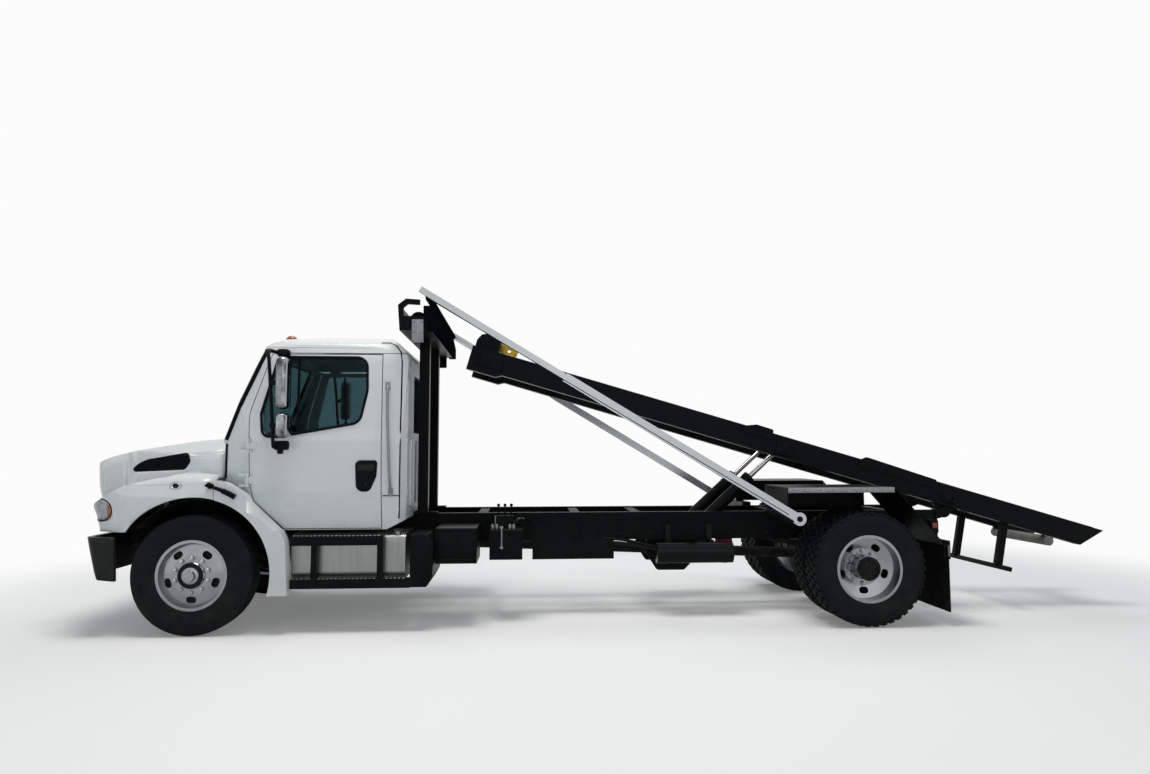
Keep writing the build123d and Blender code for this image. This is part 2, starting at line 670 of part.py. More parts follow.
# Doors, their glass and their mirrors
for side, name in SIDES:
    with BuildPart() as door:
        add(cab_outer)
        add(cab_inner, mode=Mode.SUBTRACT)
        add(door_space(side, DOOR), mode=Mode.INTERSECT)
        side_prism(at(DOOR_WINDOW), side * DOOR_DEEP, side * FAR, Mode.SUBTRACT)
        for z in DOOR_HINGE_Z:
            x = FRONT_AXLE_X + DOOR_HINGE[0]
            y = side * DOOR_HINGE[1]
            half = HINGE_EYE_H / 2
            block(x - HINGE_LEAF, x, y - side * HINGE_LEAF_T, y, z - half, z + half)
            bar((x, y, z - half), (x, y, z + half), HINGE_EYE_R)
            bar((x, y, z - half), (x, y, z + half), HINGE_PIN_R + SPIN_GAP, Mode.SUBTRACT)
    save(door.part, "door_" + name)
    with BuildPart() as door_glass:
        add(glass_outer)
        add(glass_inner, mode=Mode.SUBTRACT)
        side_prism(at(DOOR_WINDOW), side * DOOR_DEEP, side * FAR, Mode.INTERSECT)
    save(door_glass.part, "door_glass_" + name)
    with BuildPart() as mirror:
        (top_x, top_z), (low_x, low_z) = MIRROR_POST
        reach = side * MIRROR_Y
        foot = MIRROR_FOOT
        top = (FRONT_AXLE_X + top_x, reach, top_z)
        low = (FRONT_AXLE_X + low_x, reach, low_z)
        for back, front, z0, z1 in MIRROR_HEADS:
            head = [(back, z0, MIRROR_ROUND), (front, z0, MIRROR_ROUND), (front, z1, MIRROR_ROUND),
                    (back, z1, MIRROR_ROUND)]
            side_prism(at(head), side * MIRROR_HEAD_Y[0], side * MIRROR_HEAD_Y[1])
            middle = (z0 + z1) / 2
            station_block(front, top_x, reach - foot, reach + foot, middle - foot, middle + foot)
        bar(top, low, MIRROR_ARM_R)
        for x, y, z in (top, low):
            block(x - foot, x + foot, side * MIRROR_FOOT_Y, y, z - foot, z + foot)
        add(cab_outer, mode=Mode.SUBTRACT)
    save(mirror.part.solids().sort_by(Axis.Y)[-1 if side > 0 else 0], "mirror_" + name)

# Hood, with its fenders, grille and lamps
hood_outer = hood_solid(0)
hood_inner = hood_solid(HOOD_WALL)
lamp_x, lamp_z, lamp_w, lamp_h = LAMP
with BuildPart() as lamp_cut:
    for side, _ in SIDES:
        place = (FRONT_AXLE_X + lamp_x, side * LAMP_IN, lamp_z)
        with BuildSketch(Plane(origin=place, x_dir=(1, 0, 0), z_dir=(0, side, 0))):
            Ellipse(lamp_w, lamp_h)
        extrude(amount=FAR)

with BuildPart() as vent_cut:
    for side, _ in SIDES:
        side_prism(at(VENT), side * VENT_IN, side * FAR)

with BuildPart() as hood:
    add(hood_outer)
    add(hood_inner, mode=Mode.SUBTRACT)
    station_block(-FAR, FAR, -FAR, FAR, 0, HOOD_BOTTOM, Mode.SUBTRACT)
    for side, _ in SIDES:
        cross_bar(FRONT_AXLE_X, TYRE_R, side * ARCH_IN, side * FAR, ARCH_R, Mode.SUBTRACT)
    station_block(GRILLE_X, FAR, -GRILLE_Y, GRILLE_Y, GRILLE_Z[0], GRILLE_Z[1], Mode.SUBTRACT)
    add(lamp_cut.part, mode=Mode.SUBTRACT)
    add(vent_cut.part, mode=Mode.SUBTRACT)
    for side, _ in SIDES:
        y0 = side * HOOD_LUG_Y[0]
        y1 = side * HOOD_LUG_Y[1]
        lug_top = HOOD_BOTTOM + HOOD_LUG_UP
        station_block(hinge_x - HOOD_LUG_R, hinge_x + HOOD_LUG_R, y0, y1, hinge_z, lug_top)
        cross_bar(FRONT_AXLE_X + hinge_x, hinge_z, y0, y1, HOOD_LUG_R)
        cross_bar(FRONT_AXLE_X + hinge_x, hinge_z, y0, y1, HOOD_PIN_R + SPIN_GAP, Mode.SUBTRACT)
save(hood.part, "hood")

with BuildPart() as headlamps:
    add(hood_outer)
    add(hood_inner, mode=Mode.SUBTRACT)
    add(lamp_cut.part, mode=Mode.INTERSECT)
save(headlamps.part, "headlamps")

# Grille and vents are panes of the hood's own skin, with rows of slots that stop short of their backs
slot_floor = hood_solid(GRILLE_DEEP)


def slot_rows(low, high, count):
    """Pairs of heights for evenly spread slots between bars of the same kind."""
    pitch = (high - low) / count
    return [(low + n * pitch, low + (n + SLOT_SHARE) * pitch) for n in range(count)]


with BuildPart() as grille:
    add(hood_outer)
    add(hood_inner, mode=Mode.SUBTRACT)
    station_block(GRILLE_X, FAR, -GRILLE_Y, GRILLE_Y, GRILLE_Z[0], GRILLE_Z[1], Mode.INTERSECT)
    with BuildPart(mode=Mode.SUBTRACT) as grille_slots:
        half = GRILLE_Y - GRILLE_EDGE
        for low, high in slot_rows(GRILLE_Z[0] + GRILLE_EDGE, GRILLE_Z[1], GRILLE_SLOTS):
            station_block(GRILLE_X, FAR, -half, half, low, high)
        add(slot_floor, mode=Mode.SUBTRACT)
save(grille.part, "grille")

with BuildPart() as hood_vents:
    add(hood_outer)
    add(hood_inner, mode=Mode.SUBTRACT)
    add(vent_cut.part, mode=Mode.INTERSECT)
    with BuildPart(mode=Mode.SUBTRACT) as vent_slots:
        heights = [point[1] for point in VENT]
        for low, high in slot_rows(min(heights) + VENT_EDGE, max(heights), VENT_SLOTS):
            station_block(-FAR, FAR, -FAR, FAR, low, high)
        side_prism(at(VENT), -FAR, FAR, Mode.INTERSECT, VENT_EDGE)
        add(slot_floor, mode=Mode.SUBTRACT)
save(hood_vents.part, "hood_vents")

# Fixed rear quarters of the front fenders, cut back where the doors swing
with BuildPart() as quarter_fenders:
    for side, _ in SIDES:
        side_prism(at(QUARTER), side * QUARTER_Y[0], side * QUARTER_Y[1])
    for side, _ in SIDES:
        with BuildPart(mode=Mode.PRIVATE) as liner:
            cross_bar(FRONT_AXLE_X, TYRE_R, side * RAIL_Y, side * QUARTER_Y[1], ARCH_R + LINER_T)
            station_block(-FAR, QUARTER_FRONT, -FAR, FAR, QUARTER_LOW, FAR, Mode.INTERSECT)
        add(liner.part)
        cross_bar(FRONT_AXLE_X, TYRE_R, side * RAIL_IN, side * FAR, ARCH_R, Mode.SUBTRACT)
        add(door_swing(side), mode=Mode.SUBTRACT)
save(quarter_fenders.part, "quarter_fenders")

# Seats and dashboard
with BuildPart() as seats:
    for side, _ in SIDES:
        y0 = side * (SEAT_Y - SEAT_W / 2)
        y1 = side * (SEAT_Y + SEAT_W / 2)
        station_block(SEAT_X[1], SEAT_X[2], y0, y1, floor_top, SEAT_TOP)
        station_block(SEAT_X[0], SEAT_X[1], y0, y1, floor_top, SEAT_BACK_TOP)
save(seats.part, "seats")

with BuildPart() as dashboard:
    side_prism(at(DASH), -DASH_Y, DASH_Y)
    steer_x, steer_z = at([STEER_AT])[0]
    with BuildSketch(Plane(origin=(steer_x, SEAT_Y, steer_z), z_dir=STEER_LEAN)):
        Circle(STEER_R)
        Circle(STEER_R - STEER_GRIP, mode=Mode.SUBTRACT)
        Rectangle(2 * STEER_R - STEER_GRIP, STEER_SPOKE)
    extrude(amount=STEER_T)
    column_x, column_z = at([COLUMN])[0]
    bar((column_x, SEAT_Y, column_z), (steer_x, SEAT_Y, steer_z), COLUMN_R)
save(dashboard.part, "dashboard")

# Engine, gearbox, axles and drive shaft
with BuildPart() as engine:
    x0, x1, half, z0, z1 = ENGINE
    station_block(x0, x1, -half, half, z0, z1)
    foot_x0, foot_x1, foot_h = ENGINE_FOOT
    foot = RAIL_BOTTOM + RAIL_T
    for side, _ in SIDES:
        station_block(foot_x0, foot_x1, side * half, side * (RAIL_Y - RAIL_T), foot, foot + foot_h)
    x0, x1, half, z0, z1 = GEARBOX
    station_block(x0, x1, -half, half, z0, z1)
save(engine.part, "engine")


def leaf_spring(table, leaf):
    """A spring's outline about its axle: eyes under the rail, thick in the middle."""
    reach, flat, seat, up = table
    rise = TYRE_R + up
    return [
        (-reach, RAIL_BOTTOM), (-reach + SPRING_EYE, RAIL_BOTTOM), (-flat, rise), (flat, rise),
        (reach - SPRING_EYE, RAIL_BOTTOM), (reach, RAIL_BOTTOM), (seat, rise - leaf), (-seat, rise - leaf),
    ]


with BuildPart() as front_axle:
    low = TYRE_R - KING_EYE_H / 2
    high = TYRE_R + KING_EYE_H / 2
    beam_x0 = FRONT_AXLE_X - BEAM_HALF
    beam_x1 = FRONT_AXLE_X + BEAM_HALF
    block(beam_x0, beam_x1, -KINGPIN_Y, KINGPIN_Y, low, TYRE_R + BEAM_TOP)
    for side, _ in SIDES:
        y = side * KINGPIN_Y
        bar((FRONT_AXLE_X, y, low), (FRONT_AXLE_X, y, high), KING_EYE_R)
        bar((FRONT_AXLE_X, y, low), (FRONT_AXLE_X, y, high), KINGPIN_R + SPIN_GAP, Mode.SUBTRACT)
        side_prism(at(leaf_spring(FRONT_SPRING, SPRING_T)), side * RAIL_IN, side * RAIL_Y)
save(front_axle.part, "front_axle")

with BuildPart() as rear_axle:
    cross_bar(REAR_AXLE_X, TYRE_R, -REAR_DISC_Y, REAR_DISC_Y, AXLE_TUBE_R)
    nose = REAR_AXLE_X + DIFF_NOSE
    tail = FRONT_AXLE_X + GEARBOX[0]
    bar((REAR_AXLE_X - DIFF_BACK, 0, TYRE_R), (nose, 0, TYRE_R), DIFF_R)
    for side, _ in SIDES:
        side_prism(at(leaf_spring(REAR_SPRING, REAR_SPRING_T), REAR), side * RAIL_IN, side * RAIL_Y)
    bar((nose, 0, TYRE_R), (tail + SHAFT_R, 0, SHAFT_Z), SHAFT_R)
    block(tail, tail + FAR, -FAR, FAR, 0, FAR, Mode.SUBTRACT)
save(rear_axle.part, "rear_axle")

# Knuckles with their spindles
for side, name in SIDES:
    with BuildPart() as knuckle:
        y = side * KINGPIN_Y
        half = KING_EYE_H / 2 + CLEARANCE
        web = side * (KINGPIN_Y + KING_EYE_R + KNUCKLE_GAP)
        tip = web + side * KNUCKLE_T
        top = TYRE_R + half + EAR_T
        low = 2 * TYRE_R - top
        for z0, z1 in ((TYRE_R + half, top), (low, TYRE_R - half)):
            bar((FRONT_AXLE_X, y, z0), (FRONT_AXLE_X, y, z1), KING_EYE_R)
            block(FRONT_AXLE_X - KING_EYE_R, FRONT_AXLE_X + KING_EYE_R, y, tip, z0, z1)
        block(FRONT_AXLE_X - KNUCKLE_HALF, FRONT_AXLE_X + KNUCKLE_HALF, web, tip, low, top)
        bar((FRONT_AXLE_X, y, low), (FRONT_AXLE_X, y, top), KINGPIN_R)
        cross_bar(FRONT_AXLE_X, TYRE_R, tip, side * FRONT_DISC_Y, SPINDLE_R)
    save(knuckle.part, "knuckle_" + name)


def turned(shape, x):
    """Turn a profile of radius and Y about a wheel's axis at x."""
    with BuildSketch(Plane(origin=(x, 0, TYRE_R))) as face:
        add(outline(shape))
    revolve(face.sketch, Axis((x, 0, TYRE_R), (0, 1, 0)))


def tyre(x, middle):
    """One tyre, turned about the wheel's axis."""
    half = TYRE_W / 2
    seat = RIM_W / 2 - RIM_WALL
    bead = RIM_FLANGE_R + BEAD_H
    belly = TYRE_R - 2 * SHOULDER
    side_of = [
        (RIM_SEAT_R, seat), (RIM_FLANGE_R, seat), (bead, half - SIDEWALL_IN), (belly, half, 60),
        (TYRE_R - SHOULDER / 4, half - SIDEWALL_IN, 20), (TYRE_R, half - SHOULDER),
    ]
    shape = [(point[0], middle + point[1], *point[2:]) for point in side_of]
    shape += [(point[0], middle - point[1], *point[2:]) for point in reversed(side_of)]
    turned(shape, x)


def rim_ring(x, middle):
    """The barrel and flanges of one rim."""
    half = RIM_W / 2
    inner = RIM_SEAT_R - RIM_WALL
    lip = half - RIM_WALL
    ring = [
        (inner, middle - half), (RIM_FLANGE_R, middle - half), (RIM_FLANGE_R, middle - lip),
        (RIM_SEAT_R, middle - lip), (RIM_SEAT_R, middle + lip), (RIM_FLANGE_R, middle + lip),
        (RIM_FLANGE_R, middle + half), (inner, middle + half),
    ]
    turned(ring, x)


def wheel_disc(x, face, rim_face, thick):
    """A dished disc from the hub out to the rim's barrel."""
    edge = RIM_SEAT_R - RIM_WALL / 2
    turned([(0, face), (DISC_FLAT_R, face), (edge, rim_face), (edge, rim_face - thick),
            (DISC_FLAT_R, face - thick), (0, face - thick)], x)


def hand_holes(x, y):
    """The ring of oval holes through a wheel's disc."""
    with BuildSketch(Plane(origin=(x, y, TYRE_R), x_dir=(1, 0, 0), z_dir=(0, 1, 0))) as face:
        with PolarLocations(HAND_HOLE_CIRCLE, HAND_HOLES, start_angle=90):
            SlotOverall(HAND_HOLE[0], HAND_HOLE[1], rotation=90)
    extrude(face.sketch, amount=DISC_DISH + 2 * DISC_T, both=True, mode=Mode.SUBTRACT)


# Wheels: front singles and rear twins
for side, name in SIDES:
    with BuildPart() as front_tyre:
        tyre(FRONT_AXLE_X, side * FRONT_TYRE_Y)
    save(front_tyre.part, "front_tyre_" + name)
    with BuildPart() as front_rim:
        disc = side * (FRONT_DISC_Y + DISC_T)
        bore = SPINDLE_R + SPIN_GAP
        back = side * (KINGPIN_Y + KING_EYE_R + KNUCKLE_GAP + KNUCKLE_T + KNUCKLE_GAP)
        floor = side * (FRONT_DISC_Y + CLEARANCE)
        wheel_disc(FRONT_AXLE_X, disc, disc - side * DISC_DISH, side * DISC_T)
        hand_holes(FRONT_AXLE_X, disc)
        rim_ring(FRONT_AXLE_X, side * FRONT_TYRE_Y)
        steps = [(radius, disc + side * rise) for radius, rise in FRONT_HUB]
        hub = [(bore, back), (HUB_R, back), *steps, (0, steps[-1][1]), (0, floor), (bore, floor)]
        turned(hub, FRONT_AXLE_X)
        cross_bar(FRONT_AXLE_X, TYRE_R, back, floor, bore, Mode.SUBTRACT)
    save(front_rim.part, "front_rim_" + name)
    with BuildPart() as rear_tyres:
        for middle in (REAR_INNER_Y, REAR_OUTER_Y):
            tyre(REAR_AXLE_X, side * middle)
    save(rear_tyres.part, "rear_tyres_" + name)
    with BuildPart() as rear_rims:
        disc = side * REAR_DISC_Y
        bore = AXLE_TUBE_R + SPIN_GAP
        back = side * (REAR_INNER_Y - HUB_BACK)
        floor = side * (REAR_DISC_Y + CLEARANCE)
        join = side * (REAR_DISC_Y - TWIN_DISC_IN)
        wheel_disc(REAR_AXLE_X, disc, disc + side * DISC_DISH, side * DISC_T)
        hand_holes(REAR_AXLE_X, disc)
        wheel_disc(REAR_AXLE_X, join, join - side * DISC_DISH, side * DISC_T)
        for middle in (REAR_INNER_Y, REAR_OUTER_Y):
            rim_ring(REAR_AXLE_X, side * middle)
        turned([(0, back), (HUB_R, back), (HUB_R, floor), (REAR_HUB_R, side * REAR_HUB_FACE_Y),
                (0, side * REAR_HUB_FACE_Y)], REAR_AXLE_X)
        cross_bar(REAR_AXLE_X, TYRE_R, back, floor, bore, Mode.SUBTRACT)
    save(rear_rims.part, "rear_rims_" + name)

# Fuel tank on the driver's side, exhaust box of the same size opposite
tank_x0, tank_x1 = TANK_X
with BuildPart() as fuel_tank:
    station_block(tank_x0, tank_x1, RAIL_Y, TANK_Y, TANK_Z[0], TANK_Z[1])
    fillet(fuel_tank.edges().filter_by(Axis.X).sort_by(Axis.Y)[-2:], TANK_ROUND)
    root = Vector(FRONT_AXLE_X + FILLER_X, TANK_Y - TANK_ROUND, TANK_Z[1] - TANK_ROUND)
    lean = radians(FILLER_LEAN)
    tip = root + Vector(0, sin(lean), cos(lean)) * FILLER_REACH
    bar(tuple(root), tuple(tip), FILLER_R)
save(fuel_tank.part, "fuel_tank")

with BuildPart() as exhaust_box:
    station_block(tank_x0, tank_x1, -TANK_Y, -RAIL_Y, TANK_Z[0], TANK_Z[1])
    fillet(exhaust_box.edges().filter_by(Axis.X).sort_by(Axis.Y)[:2], TANK_ROUND / 2)
save(exhaust_box.part, "exhaust_box")

with BuildPart() as side_steps:
    for side, _ in SIDES:
        near = side * STEP_Y[0]
        far = side * STEP_Y[1]
        for z0, z1 in STEP_ROWS:
            station_block(STEP_X[0], STEP_X[1], near, far, z0, z1)
        for station in STEP_STRAPS:
            half = STEP_STRAP_W / 2
            station_block(station - half, station + half, near, far, STEP_ROWS[1][0], STEP_ROWS[0][1])
        side_prism(at(END_BOX), side * RAIL_Y, far)
save(side_steps.part, "side_steps")

with BuildPart() as frame_boxes:
    for side, _ in SIDES:
        x0, x1, far, z0, z1 = TOOL_BOX
        station_block(x0, x1, side * RAIL_Y, side * far, z0, z1)
    x0, x1, far, z0, z1 = OIL_TANK
    station_block(x0, x1, RAIL_Y, far, z0, z1)
    fillet(frame_boxes.edges().filter_by(Axis.X), BOX_EDGE)
    x0, x1, z0 = RESERVOIR
    station_block(CYL_BASE[0] + x0, CYL_BASE[0] + x1, RAIL_IN, RAIL_Y, z0, RAIL_BOTTOM)
save(frame_boxes.part, "frame_boxes")

with BuildPart() as control_valve:
    x0, x1, out, z0, z1 = VALVE
    station_block(x0, x1, RAIL_Y, RAIL_Y + out, z0, z1)
    for station in LEVERS:
        foot = (FRONT_AXLE_X + station, RAIL_Y + out / 2, z1 - LEVER_KNOB)
        knob = (foot[0], foot[1] + LEVER_LEAN[0], z1 + LEVER_LEAN[1])
        bar(foot, knob, LEVER_R)
        with Locations(knob):
            Sphere(LEVER_KNOB)
save(control_valve.part, "control_valve")

with BuildPart() as air_tanks:
    x0, x1, y, z, radius = AIR_TANK
    strap, hanger, lap, over = AIR_STRAP
    for side, _ in SIDES:
        bar((REAR_AXLE_X + x0, side * y, z), (REAR_AXLE_X + x1, side * y, z), radius)
        for station in AIR_STRAPS:
            left = REAR + station - strap
            right = REAR + station + strap
            station_block(left, right, side * RAIL_Y, side * (RAIL_Y + hanger), z, AIR_HANGER_TOP)
            station_block(left, right, side * RAIL_Y, side * y, z + radius - lap, z + radius + over)
save(air_tanks.part, "air_tanks")

# Tarp gantry behind the cab
with BuildPart() as gantry_posts:
    foot_x, foot_t = POST_FOOT
    for side, _ in SIDES:
        y0 = side * POST_Y[0]
        y1 = side * POST_Y[1]
        station_block(POST_X[0], POST_X[1], y0, y1, RAIL_TOP, TRAY_Z)
        station_block(POST_X[0] - foot_x, POST_X[1], side * RAIL_IN, y1, RAIL_TOP, RAIL_TOP + foot_t)
save(gantry_posts.part, "gantry_posts")

with BuildPart() as tarp_tray:
    tray_top = TRAY_Z + TRAY_T
    lip_top = TRAY_Z + TRAY_LIP
    station_block(TRAY_X[0], TRAY_X[1], -TRAY_Y, TRAY_Y, TRAY_Z, tray_top)
    station_block(TRAY_X[0], TRAY_X[0] + TRAY_T, -TRAY_Y, TRAY_Y, TRAY_Z, lip_top)
    side_prism(at(TRAY_BACK, CAB_BACK, TRAY_Z), -TRAY_Y, TRAY_Y)
    for side, _ in SIDES:
        inner = side * (TRAY_Y - TRAY_END)
        outer = side * TRAY_Y
        side_prism(at(BRACKET, CAB_BACK, TRAY_Z), inner, outer)
        station_block(TRAY_X[0], TRAY_X[1], inner, outer, TRAY_Z, lip_top)
        x0, x1, z0, z1 = MOTOR
        station_block(CAB_BACK + x0, CAB_BACK + x1, outer, outer + side * MOTOR_T, TRAY_Z + z0, TRAY_Z + z1)
save(tarp_tray.part, "tarp_tray")

with BuildPart() as tarp_roll:
    reach = TRAY_Y - TRAY_END
    cross_bar(FRONT_AXLE_X + ROLL_X, TRAY_Z + TRAY_T + ROLL_R, -reach, reach, ROLL_R)
save(tarp_roll.part, "tarp_roll")

# Outriggers and the tarp arms that swing on them
with BuildPart() as outriggers:
    x, z = ARM_PIVOT
    half = OUTRIGGER / 2
    for side, _ in SIDES:
        end = side * OUTRIGGER_END
        station_block(x - half, x + half, side * RAIL_Y, end, z - half, z + half)
        cross_bar(FRONT_AXLE_X + x, z, end, side * (ARM_Y + ARM_W / 2 + CLEARANCE), ARM_PIN_R)
save(outriggers.part, "outriggers")

with BuildPart() as tarp_arms:
    deep = ARM_DEEP / 2
    slim = ARM_SLIM / 2
    for side, _ in SIDES:
        y0 = side * (ARM_Y - ARM_W / 2)
        y1 = side * (ARM_Y + ARM_W / 2)
        side_prism(on_arm(*rectangle(0, ARM_KNEE, -deep, deep)), y0, y1)
        side_prism(on_arm(*rectangle(ARM_KNEE, ARM_LEN, -slim, slim)), y0, y1)
        x, z = on_arm((0, 0))[0]
        cross_bar(x, z, y0, y1, ARM_EYE_R)
        cross_bar(x, z, y0, y1, ARM_PIN_R + SPIN_GAP, Mode.SUBTRACT)
    x, z = on_arm((ARM_LEN - ARM_SLIM, 0))[0]
    reach = ARM_Y - ARM_W / 2
    cross_bar(x, z, -reach, reach, BOW_R)
save(tarp_arms.part, "tarp_arms")

# Rear fenders, flaps and lamps
with BuildPart() as rear_fenders:
    x0, x1 = GUARD_X
    tail_x, tail_z = GUARD_TAIL
    under = GUARD_TOP - GUARD_T
    sheet = [
        (x1, GUARD_TOP - GUARD_LIP), (x1, GUARD_TOP), (x0, GUARD_TOP), (tail_x, tail_z),
        (tail_x, tail_z - GUARD_TAIL_T), (x0, under), (x1 - GUARD_T, under),
        (x1 - GUARD_T, GUARD_TOP - GUARD_LIP),
    ]
    post_y, post_w = GUARD_POST
    for side, _ in SIDES:
        inner = side * (RAIL_Y + post_y)
        foot = ARM_PIVOT[1] + OUTRIGGER / 2
        side_prism(at(sheet), side * GUARD_Y[0], side * GUARD_Y[1])
        station_block(x0, x1, side * GUARD_Y[0], side * (GUARD_Y[0] + GUARD_T), GUARD_SKIRT, GUARD_TOP)
        station_block(x1 - GUARD_T, ARM_PIVOT[0], inner, inner + side * post_w, foot, under)
        station_block(tail_x - 2 * STAY_R, tail_x, side * RAIL_Y, side * GUARD_Y[1],
                      tail_z - STAY_R, tail_z + STAY_R)
save(rear_fenders.part, "rear_fenders")

with BuildPart() as mudflaps:
    x = GUARD_TAIL[0] - STAY_R
    for side, _ in SIDES:
        top = GUARD_TAIL[1] - STAY_R
        station_block(x - FLAP_T, x, side * GUARD_Y[0], side * GUARD_Y[1], FLAP_BOTTOM, top)
save(mudflaps.part, "mudflaps")

with BuildPart() as tail_lamps:
    x0, x1, y, z0, z1 = TAIL_LAMP
    for side, _ in SIDES:
        station_block(x0, x1, side * RAIL_Y, side * y, z0, z1)
save(tail_lamps.part, "tail_lamps")

# Hinge and cylinder brackets on the ladder frame
with BuildPart() as hoist_mounts:
    plate_t, plate_y0, plate_y1 = END_PLATE
    pivot_x = FRONT_AXLE_X + PIVOT[0]
    base_x = FRONT_AXLE_X + CYL_BASE[0]
    flange = [(BRACKET_PLATE[0][0], RAIL_BOTTOM), (BRACKET_PLATE[-1][0], RAIL_BOTTOM),
              (BRACKET_PLATE[-1][0], RAIL_BOTTOM - BRACKET_FLANGE),
              (BRACKET_PLATE[0][0], RAIL_BOTTOM - BRACKET_FLANGE)]
    cheek_in = LUG_Y[0] - CLEARANCE
    cheek_out = LUG_Y[1] + CLEARANCE
    for side, _ in SIDES:
        for y0, y1 in ((cheek_in - CHEEK_T, cheek_in), (cheek_out, cheek_out + CHEEK_T)):
            side_prism(at(CHEEK, RAIL_BACK, RAIL_TOP), side * y0, side * y1)
        y0 = side * plate_y0
        y1 = side * plate_y1
        station_block(RAIL_BACK - plate_t, RAIL_BACK, y0, y1, RAIL_BOTTOM, RAIL_TOP)
        cross_bar(pivot_x, PIVOT[1], side * (cheek_in - CHEEK_T), side * (cheek_out + CHEEK_T), PIVOT_PIN_R)
        side_prism(at(BRACKET_PLATE, CYL_BASE[0]), side * BRACKET_Y[0], side * BRACKET_Y[1])
        side_prism(at(flange, CYL_BASE[0]), side * BRACKET_Y[0], side * RAIL_Y)
        cross_bar(base_x, CYL_BASE[1], side * (CYL_Y - CYL_EYE_W / 2), side * BRACKET_Y[0], CYL_PIN_R)
save(hoist_mounts.part, "hoist_mounts")

# Hoist: two box rails, cross members, lugs, shoes
pin_x, pin_z = tilted(CYL_PIN)[0]
with BuildPart() as hoist_frame:
    cut = TAIL_CUT - HOIST_TAIL
    rail = [(-HOIST_TAIL, HOIST_TOP), (HOIST_NOSE, HOIST_TOP), (HOIST_NOSE, HOIST_LOW), (cut, HOIST_LOW)]
    room = rectangle(cut, HOIST_NOSE, HOIST_LOW + HOIST_WALL, HOIST_TOP - HOIST_WALL)
    shoe = [(HOIST_NOSE + u, v) for u, v in SHOE]
    lug = [(-LUG_R, 0), (-LUG_ROOT, HOIST_LOW), (LUG_ROOT, HOIST_LOW), (LUG_R, 0)]
    for side, _ in SIDES:
        inner = side * HOIST_IN
        outer = side * HOIST_RAIL_Y
        wall = side * HOIST_WALL
        side_prism(tilted(*rail), inner, outer)
        side_prism(tilted(*room), inner + wall, outer - wall, Mode.SUBTRACT)
        side_prism(tilted(*shoe), inner, outer)
        x, z = tilted((0, 0))[0]
        side_prism(tilted(*lug), side * LUG_Y[0], side * LUG_Y[1])
        cross_bar(x, z, side * LUG_Y[0], side * LUG_Y[1], LUG_R)
        cross_bar(x, z, side * LUG_Y[0], side * LUG_Y[1], PIVOT_PIN_R + SPIN_GAP, Mode.SUBTRACT)
        cross_bar(pin_x, pin_z, side * (CYL_Y + CYL_EYE_W / 2 + CLEARANCE), inner, CYL_EYE_R)
        for guide in RAIL_GUIDES:
            side_prism(tilted(*guide), outer, outer + side * GUIDE_T)
    for u in HOIST_CROSS + tuple(HOIST_NOSE - back for back in NOSE_CROSS):
        half = HOIST_CROSS_W / 2
        top = HOIST_TOP - HOIST_CROSS_DOWN
        side_prism(tilted(*rectangle(u - half, u + half, top - HOIST_CROSS_H, top)), -HOIST_IN, HOIST_IN)
save(hoist_frame.part, "hoist_frame")

with BuildPart() as winch_head:
    side_prism(tilted(*[(HOIST_NOSE + u, v, *bend) for u, v, *bend in WINCH]), -WINCH_Y, WINCH_Y)
save(winch_head.part, "winch_head")

with BuildPart() as pull_block:
    back = HOIST_NOSE + WINCH[0][0]
    u = back - SHEAVE_R
    half = SHANK_H / 2
    x, z = tilted((u, SHEAVE_V))[0]
    cross_bar(x, z, -SHEAVE_Y, SHEAVE_Y, SHEAVE_R)
    side_prism(tilted(*rectangle(u, back, SHEAVE_V - half, SHEAVE_V + half)), -SHEAVE_Y, SHEAVE_Y)
    cross_bar(x, z, -SHEAVE_Y, SHEAVE_Y, SHEAVE_BORE, Mode.SUBTRACT)
    groove_half, groove_deep = SHEAVE_GROOVE
    with BuildPart(mode=Mode.SUBTRACT) as groove:
        cross_bar(x, z, -groove_half, groove_half, SHEAVE_R)
        cross_bar(x, z, -groove_half, groove_half, SHEAVE_R - groove_deep, Mode.SUBTRACT)
        shank_side = rectangle(u, back, SHEAVE_V - SHEAVE_R, SHEAVE_V + SHEAVE_R)
        side_prism(tilted(*shank_side), -SHEAVE_Y, SHEAVE_Y, Mode.SUBTRACT)
save(pull_block.part, "pull_block")

with BuildPart() as underride_guard:
    u, v = GUARD_BAR_AT
    post_w, post_lean, post_y0, post_y1 = GUARD_BAR_POST
    half = post_w / 2
    lean = u + post_lean
    post = [(u - half, v), (u + half, v), (lean + half, HOIST_LOW), (lean - half, HOIST_LOW)]
    for side, _ in SIDES:
        side_prism(tilted(*post), side * post_y0, side * post_y1)
    half = GUARD_BAR / 2
    side_prism(tilted(*rectangle(u - half, u + half, v - half, v + half)), -GUARD_BAR_Y, GUARD_BAR_Y)
save(underride_guard.part, "underride_guard")

with BuildPart() as tail_roller:
    arm_half, arm_y0, arm_y1 = ROLLER_ARM
    v = HOIST_LOW - ROLLER_R
    x, z = tilted((ROLLER_U, v))[0]
    arm = [(ROLLER_U - ROLLER_R, HOIST_LOW), (ROLLER_U + ROLLER_R, HOIST_LOW), (ROLLER_U + arm_half, v),
           (ROLLER_U - arm_half, v)]
    cross_bar(x, z, -HOIST_RAIL_Y, HOIST_RAIL_Y, ROLLER_R)
    for side, _ in SIDES:
        side_prism(tilted(*arm), side * (HOIST_RAIL_Y - arm_y0), side * (HOIST_RAIL_Y - arm_y1))
save(tail_roller.part, "tail_roller")

# Tilt cylinders: barrels on the frame, rods reaching to the hoist
base_z = CYL_BASE[1]
cyl_turn = atan2(pin_z - base_z, pin_x - base_x)
cyl_reach = hypot(pin_x - base_x, pin_z - base_z)
barrel_at, bore_at, rod_spare = BARREL_START


